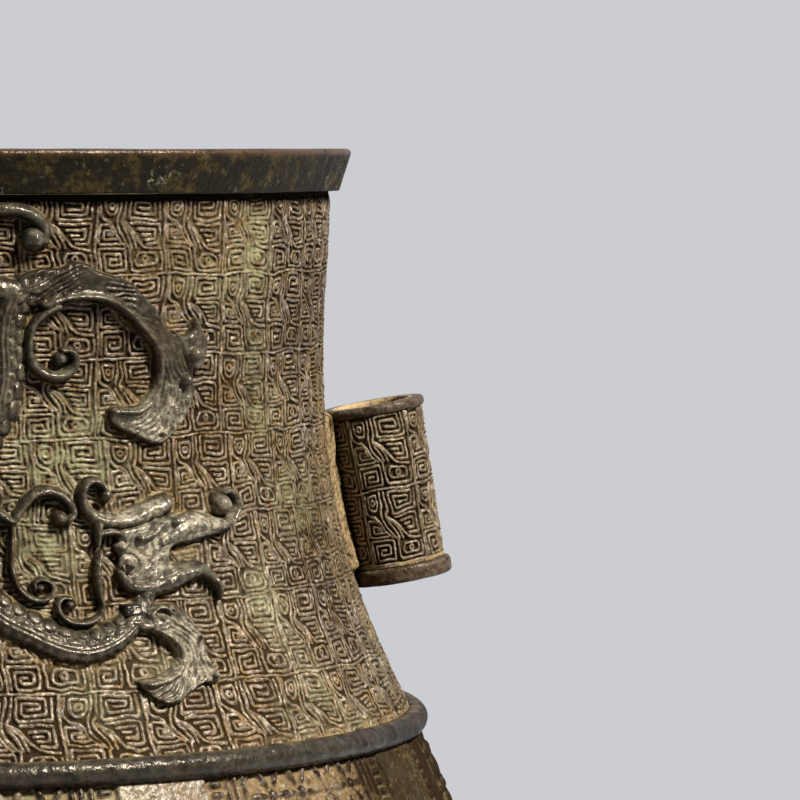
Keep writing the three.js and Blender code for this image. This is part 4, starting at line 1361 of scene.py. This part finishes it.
def make_foot():
    hollow = BELLY_BOTTOM - FOOT_HOLLOW_DROP
    middle = (FOOT_BAND_HEIGHT + hollow) / 2
    band = FOOT_FLARE_RADIUS + FOOT_BAND_STEP
    edge = band - FOOT_EDGE_ROUND
    flare = bezier((FOOT_FLARE_RADIUS, FOOT_BAND_HEIGHT), (FOOT_FLARE_RADIUS, middle),
                   (FOOT_HOLLOW_RADIUS, middle), (FOOT_HOLLOW_RADIUS, hollow), FOOT_FLARE_POINTS)
    outside = spaced(np.concatenate([
        [(FOOT_FLARE_RADIUS - FOOT_WALL, FOOT_BOTTOM), (edge, FOOT_BOTTOM)],
        arc((edge, FOOT_BOTTOM + FOOT_EDGE_ROUND), FOOT_EDGE_ROUND, -90, 0, 6),
        arc((edge, FOOT_BAND_HEIGHT - FOOT_EDGE_ROUND), FOOT_EDGE_ROUND, 0, 90, 6),
        flare,
        [(FOOT_TOP_RADIUS - inset, BELLY_BOTTOM - drop) for inset, drop in FOOT_HEAD],
    ]), OUTLINE_STEPS["foot"])
    outside[outside[:, 1] < FOOT_FLAT, 1] = FOOT_BOTTOM
    ledge_top = BELLY_BOTTOM - BASE_THICKNESS
    ledge_bottom = BELLY_BOTTOM - LEDGE_DROP
    ledge = BASE_RADIUS - LEDGE_WIDTH
    wall = FOOT_HOLLOW_RADIUS - FOOT_WALL
    inside = [(BASE_RADIUS, BELLY_BOTTOM), (BASE_RADIUS, ledge_top), (ledge, ledge_top),
              (ledge, ledge_bottom), (wall, ledge_bottom), (wall, hollow - FOOT_CONE[0]),
              (FOOT_FLARE_RADIUS - FOOT_WALL, FOOT_BAND_HEIGHT + FOOT_CONE[1])]
    angles = girth_angles(band, *ROUND_STEPS["foot"])
    points = turned(outside, angles)
    height = points[..., 2] - FOOT_BAND_HEIGHT
    lift = waver(points, "foot") * smoothstep(0.5, 2.0, points[..., 2])
    masks = {"wear": smoothstep(-1.2, 0.0, height) * smoothstep(1.0, 0.2, height)}
    fit(shell("foot", outside, inside, angles, lift, masks), "plain_bronze", "foot_ring")


def make_base():
    angles = np.linspace(0.0, FULL_TURN, BASE_SIDES, endpoint=False)
    top = BELLY_BOTTOM
    bottom = top - BASE_THICKNESS
    side = BASE_RADIUS - BASE_GAP
    across = np.linspace(BASE_MIDDLE, side - BASE_CHAMFER, BASE_ROWS)
    outside = np.concatenate([
        np.stack([across, np.full(BASE_ROWS, bottom)], axis=1),
        [(side, bottom + BASE_CHAMFER), (side, top - BASE_CHAMFER)],
        np.stack([across[::-1], np.full(BASE_ROWS, top)], axis=1),
    ])
    lift = waver(turned(outside, angles), "base")
    inside = [(BASE_MIDDLE / 2, (top + bottom) / 2)]
    base = shell("base", outside, inside, angles, lift, {"wear": np.zeros(lift.shape)})
    fit(base, "plain_bronze", "base_plate")


def on_handle(points, side):
    """Points given round the tube's own axis, set where the handle leans on the neck."""
    x, y, z = (points[..., axis] for axis in range(3))
    reach = HANDLE_REACH + x * math.cos(HANDLE_TILT) - z * math.sin(HANDLE_TILT)
    level = HANDLE_LEVEL + x * math.sin(HANDLE_TILT) + z * math.cos(HANDLE_TILT)
    return np.stack([side * reach, side * y, level], axis=-1)


def off_neck(points):
    """Points inside the neck brought out to just off its surface."""
    reach = np.hypot(points[..., 0], points[..., 1])
    grow = np.maximum(1.0, (neck_radius(points[..., 2]) + OFF_WALL) / reach)
    return points * np.stack([grow, grow, np.ones(grow.shape)], axis=-1)


def tube_radius(along):
    """The tube's radius at a distance along its axis from its middle."""
    return TUBE_BOTTOM_RADIUS + (along / TUBE_LENGTH + 0.5) * (TUBE_TOP_RADIUS - TUBE_BOTTOM_RADIUS)


def make_tube(word, low, high, seat):
    step = HANDLE_STEPS[word]
    angles = np.linspace(0.0, FULL_TURN, int(FULL_TURN * TUBE_TOP_RADIUS / step), endpoint=False)
    outside = spaced([(TUBE_BOTTOM_RADIUS, low), (TUBE_TOP_RADIUS, high)], step)
    points = turned(outside, angles)
    reach, size, seed = TUBE_STRAY
    stray_share = reach * (noise(points, size, seed) - 0.5)
    foot = smoothstep(*TUBE_FOOT, points[..., 2] - low)
    fret = fret_at(TUBE_TILES * angles / FULL_TURN + TUBE_TILE_START + stray_share,
                   (high - points[..., 2]) / FRET_TILE[1] + stray_share)
    fret = fret + foot * (TUBE_FOOT_LINE - fret)
    lift = FRET_DEPTH * (fret - FRET_LEVEL) + dents(points, TUBE_DENTS) - TUBE_INSET
    outwards = points[..., 0] / TUBE_TOP_RADIUS
    # Painted shade: the side of the tube turned to the neck is darkened, in the neck's shade.
    crook_shade = smoothstep(0.6, 1.0, -outwards)
    # Painted light: beside it, on the side towards the neck, the tube gets pale tops and earth in its
    # grooves, standing in for light that the lamps give it too little.
    side_share = smoothstep(0.5, -0.5, outwards) * (1.0 - crook_shade)
    masks = {
        "line": fret,
        "verdigris": patches(points, *TUBE_GREENS),
        "earth": np.maximum(2.5 * foot, 0.25 * side_share),
        "dark": np.maximum(patches(points, *TUBE_STAINS), 0.85 * crook_shade) * (1.0 - foot),
        "rub_and_light": 0.75 * side_share,
    }
    inside = [(TUBE_BORE_RADIUS, level) for level in (high, 0.0, low)]
    tube = shell(f"tube_{word}", outside, inside, angles, lift, masks, seat, {"line": 0.5, "earth": 1.5})
    fit(tube, "ground_bronze", f"handle_tube_{word}")


def make_collar(word, place, low, thickness, radius, seat):
    high = low + thickness
    inner = radius - COLLAR_ROUND
    outline = spaced(np.concatenate([
        [(TUBE_BORE_RADIUS, low)],
        arc((inner, low + COLLAR_ROUND), COLLAR_ROUND, -90, 0, 8),
        arc((inner, high - COLLAR_ROUND), COLLAR_ROUND, 0, 90, 8),
        [(TUBE_BORE_RADIUS, high)],
    ]), COLLAR_STEP)
    angles = np.linspace(0.0, FULL_TURN, COLLAR_SIDES, endpoint=False)
    lift = waver(turned(outline, angles), "collar")
    in_bore = smoothstep(TUBE_BORE_RADIUS + 0.9, TUBE_BORE_RADIUS + 0.3, outline[:, 0])[:, None]
    # The collars' pale patches are partly wear, partly painted sheen.
    masks = {"wear": 0.6, "rub_and_light": 0.4, "earth": in_bore}
    collar = shell(f"{place}_collar_{word}", outline, [(TUBE_BORE_RADIUS, low + thickness / 2)], angles,
                   lift, masks, seat, {"earth": 1.0})
    fit(collar, "plain_bronze", f"handle_{place}_collar_{word}")


def make_saddle(side, word, low, high):
    """A lumpy strip that fills the wedge between the tube and the neck."""
    run = np.linspace(low, high, SADDLE_ROWS)
    turn = np.linspace(0.0, FULL_TURN, SADDLE_COLUMNS, endpoint=False)
    run_grid, across = np.meshgrid(run, 0.5 * SADDLE_WIDTH * np.cos(turn), indexing="ij")
    back = SADDLE_BITE - np.sqrt(tube_radius(run_grid) ** 2 - across ** 2)
    tube_side = on_handle(np.stack([back, across, run_grid], axis=-1), 1)
    wall = np.sqrt(np.maximum(neck_radius(tube_side[..., 2]) ** 2 - across ** 2, 0.0)) - SADDLE_SUNK
    reach = np.where(np.sin(turn)[None, :] > 0, tube_side[..., 0], wall)
    lumps = dents(np.stack([reach, across, run_grid], axis=-1), SADDLE_LUMPS)
    across = across + lumps * np.sign(across)
    points = np.stack([side * reach, side * across, tube_side[..., 2]], axis=-1)
    faces, corner_uv = grid_faces(SADDLE_ROWS, SADDLE_COLUMNS, False, True)
    half = SADDLE_COLUMNS // 2
    for row in (0, SADDLE_ROWS - 1):
        corners = row * SADDLE_COLUMNS + np.arange(SADDLE_COLUMNS)
        end = np.stack([corners[1:half], corners[:half - 1],
                        corners[::-1][:half - 1], corners[::-1][1:half]], axis=1)
        faces = np.concatenate([faces, end])
        corner_uv = np.concatenate([corner_uv, np.zeros((len(end), 4, 2))])
    saddle = set_down(f"saddle_{word}", points.reshape(-1, 3), faces, corner_uv, {})
    fit(saddle, "solder", f"handle_saddle_{word}")


def make_handle(side, word):
    half = (TUBE_LENGTH + TOP_COLLAR_THICKNESS + BOTTOM_COLLAR_THICKNESS) / 2
    low = BOTTOM_COLLAR_THICKNESS - half
    high = half - TOP_COLLAR_THICKNESS

    def seat(points):
        return off_neck(on_handle(points, side))

    make_tube(word, low, high, seat)
    make_collar(word, "top", high, TOP_COLLAR_THICKNESS, TOP_COLLAR_RADIUS, seat)
    make_collar(word, "bottom", -half, BOTTOM_COLLAR_THICKNESS, BOTTOM_COLLAR_RADIUS, seat)
    make_saddle(side, word, low + SADDLE_END_GAP, high - SADDLE_END_GAP)


def make_dragons(fine_grid, coarse_grid):
    for face, turn in (("front", 0.0), ("back", math.pi)):
        for word, mirror in (("right", 1), ("left", -1)):
            grid = fine_grid if (face, word) == ("front", "right") else coarse_grid
            name = f"dragon_{face}_{word}"
            fit(dragon(f"{name}_relief", grid, turn, mirror), "relief_bronze", name)


fine_dragon = dragon_grid(FINE_STEP)
coarse_dragon = dragon_grid(COARSE_STEP)
make_neck(coarse_dragon)
make_dragons(fine_dragon, coarse_dragon)
make_belly()
make_rim()
make_ring()
make_foot()
make_base()
make_handle(1, "right")
make_handle(-1, "left")


# Stage, light and camera

BACKDROP = (0.60, 0.61, 0.64)
AMBIENT = 0.05
FLOOR_RADIUS = 1.0
FLOOR_SIDES = 96
FLOOR_FADE = (0.35 * FLOOR_RADIUS, 0.98 * FLOOR_RADIUS)
FLOOR_BOUNCE = (0.10, 0.10, 0.10)
FLOOR_PALES = ((0.74, 0.75, 0.78), (0.77, 0.78, 0.81))
FLOOR_ROUGHNESS = 0.9
AIM = (0.03, 0.0, 0.21)
# Name, azimuth from the camera side towards +X, elevation, distance, size and power of each lamp
LAMPS = (
    ("key", 53, 46, 1.3, 0.22, 38.0),
    ("fill", -35, 22, 1.6, 1.2, 0.6),
    ("top", 15, 78, 1.4, 0.6, 1.0),
    ("back", -127, 35, 1.5, 0.8, 14.0),
)


def make_floor():
    """A round of pale paper under the vessel that fades into the backdrop."""
    mesh = bpy.data.meshes.new("floor")
    corners = [(FLOOR_RADIUS * math.cos(a), FLOOR_RADIUS * math.sin(a), 0.0)
               for a in np.linspace(0.0, FULL_TURN, FLOOR_SIDES, endpoint=False)]
    mesh.from_pydata(corners, [], [tuple(range(len(corners)))])
    floor = set_out("floor", mesh)
    shader = Shader(bpy.data.materials.new("floor_paper"))
    pale = shader.blend(shader.mottle(300.0), *FLOOR_PALES)
    colour = shader.blend(shader.seen(), FLOOR_BOUNCE, pale)
    away = shader.add("ShaderNodeVectorMath", operation="LENGTH")
    shader.feed(away, Vector=shader.add("ShaderNodeTexCoord").outputs["Object"])
    shader.feed(shader.surface, Alpha=shader.between(away.outputs["Value"], *FLOOR_FADE, 1.0, 0.0))
    floor.data.materials.append(shader.finish(colour, FLOOR_ROUGHNESS))


def make_world():
    world = bpy.data.worlds.new("studio")
    bpy.context.scene.world = world
    shader = Shader(world, "Background")
    strength = shader.between(shader.seen(), 0.0, 1.0, AMBIENT, 1.0)
    shader.feed(shader.surface, Color=(*BACKDROP, 1.0), Strength=strength)


def aim_at(thing, place, target):
    place = Vector(place)
    thing.location = place
    thing.rotation_euler = (Vector(target) - place).to_track_quat("-Z", "Y").to_euler()


def make_lamp(name, azimuth, elevation, distance, size, power):
    """A square soft lamp that looks at the vessel."""
    data = bpy.data.lights.new(name, "AREA")
    data.size = size
    data.energy = power
    azimuth = math.radians(azimuth)
    elevation = math.radians(elevation)
    away = np.array([math.sin(azimuth) * math.cos(elevation), -math.cos(azimuth) * math.cos(elevation),
                     math.sin(elevation)])
    aim_at(set_out(name, data), np.array(AIM) + distance * away, AIM)


def make_camera():
    """A level camera turned from the vessel's axis to the middle of the picture."""
    data = bpy.data.cameras.new("camera")
    data.lens = CAMERA_LENS
    data.sensor_width = CAMERA_SENSOR
    data.clip_end = CAMERA_FAR_END
    camera = set_out("camera", data)
    focus = CAMERA_LENS / CAMERA_SENSOR * IMAGE_SIZE
    right = (IMAGE_SIZE / 2 - AXIS_PIXEL) / focus
    down = (IMAGE_SIZE / 2 - HORIZON_PIXEL) / focus
    place = np.array([0.0, -CAMERA_DISTANCE, CAMERA_LEVEL]) * MM
    aim_at(camera, place, place + np.array([right, 1.0, -down]))
    bpy.context.scene.camera = camera


make_floor()
make_world()
for lamp in LAMPS:
    make_lamp(*lamp)
make_camera()

bpy.context.scene.view_settings.view_transform = "Standard"
bpy.context.view_layer.update()
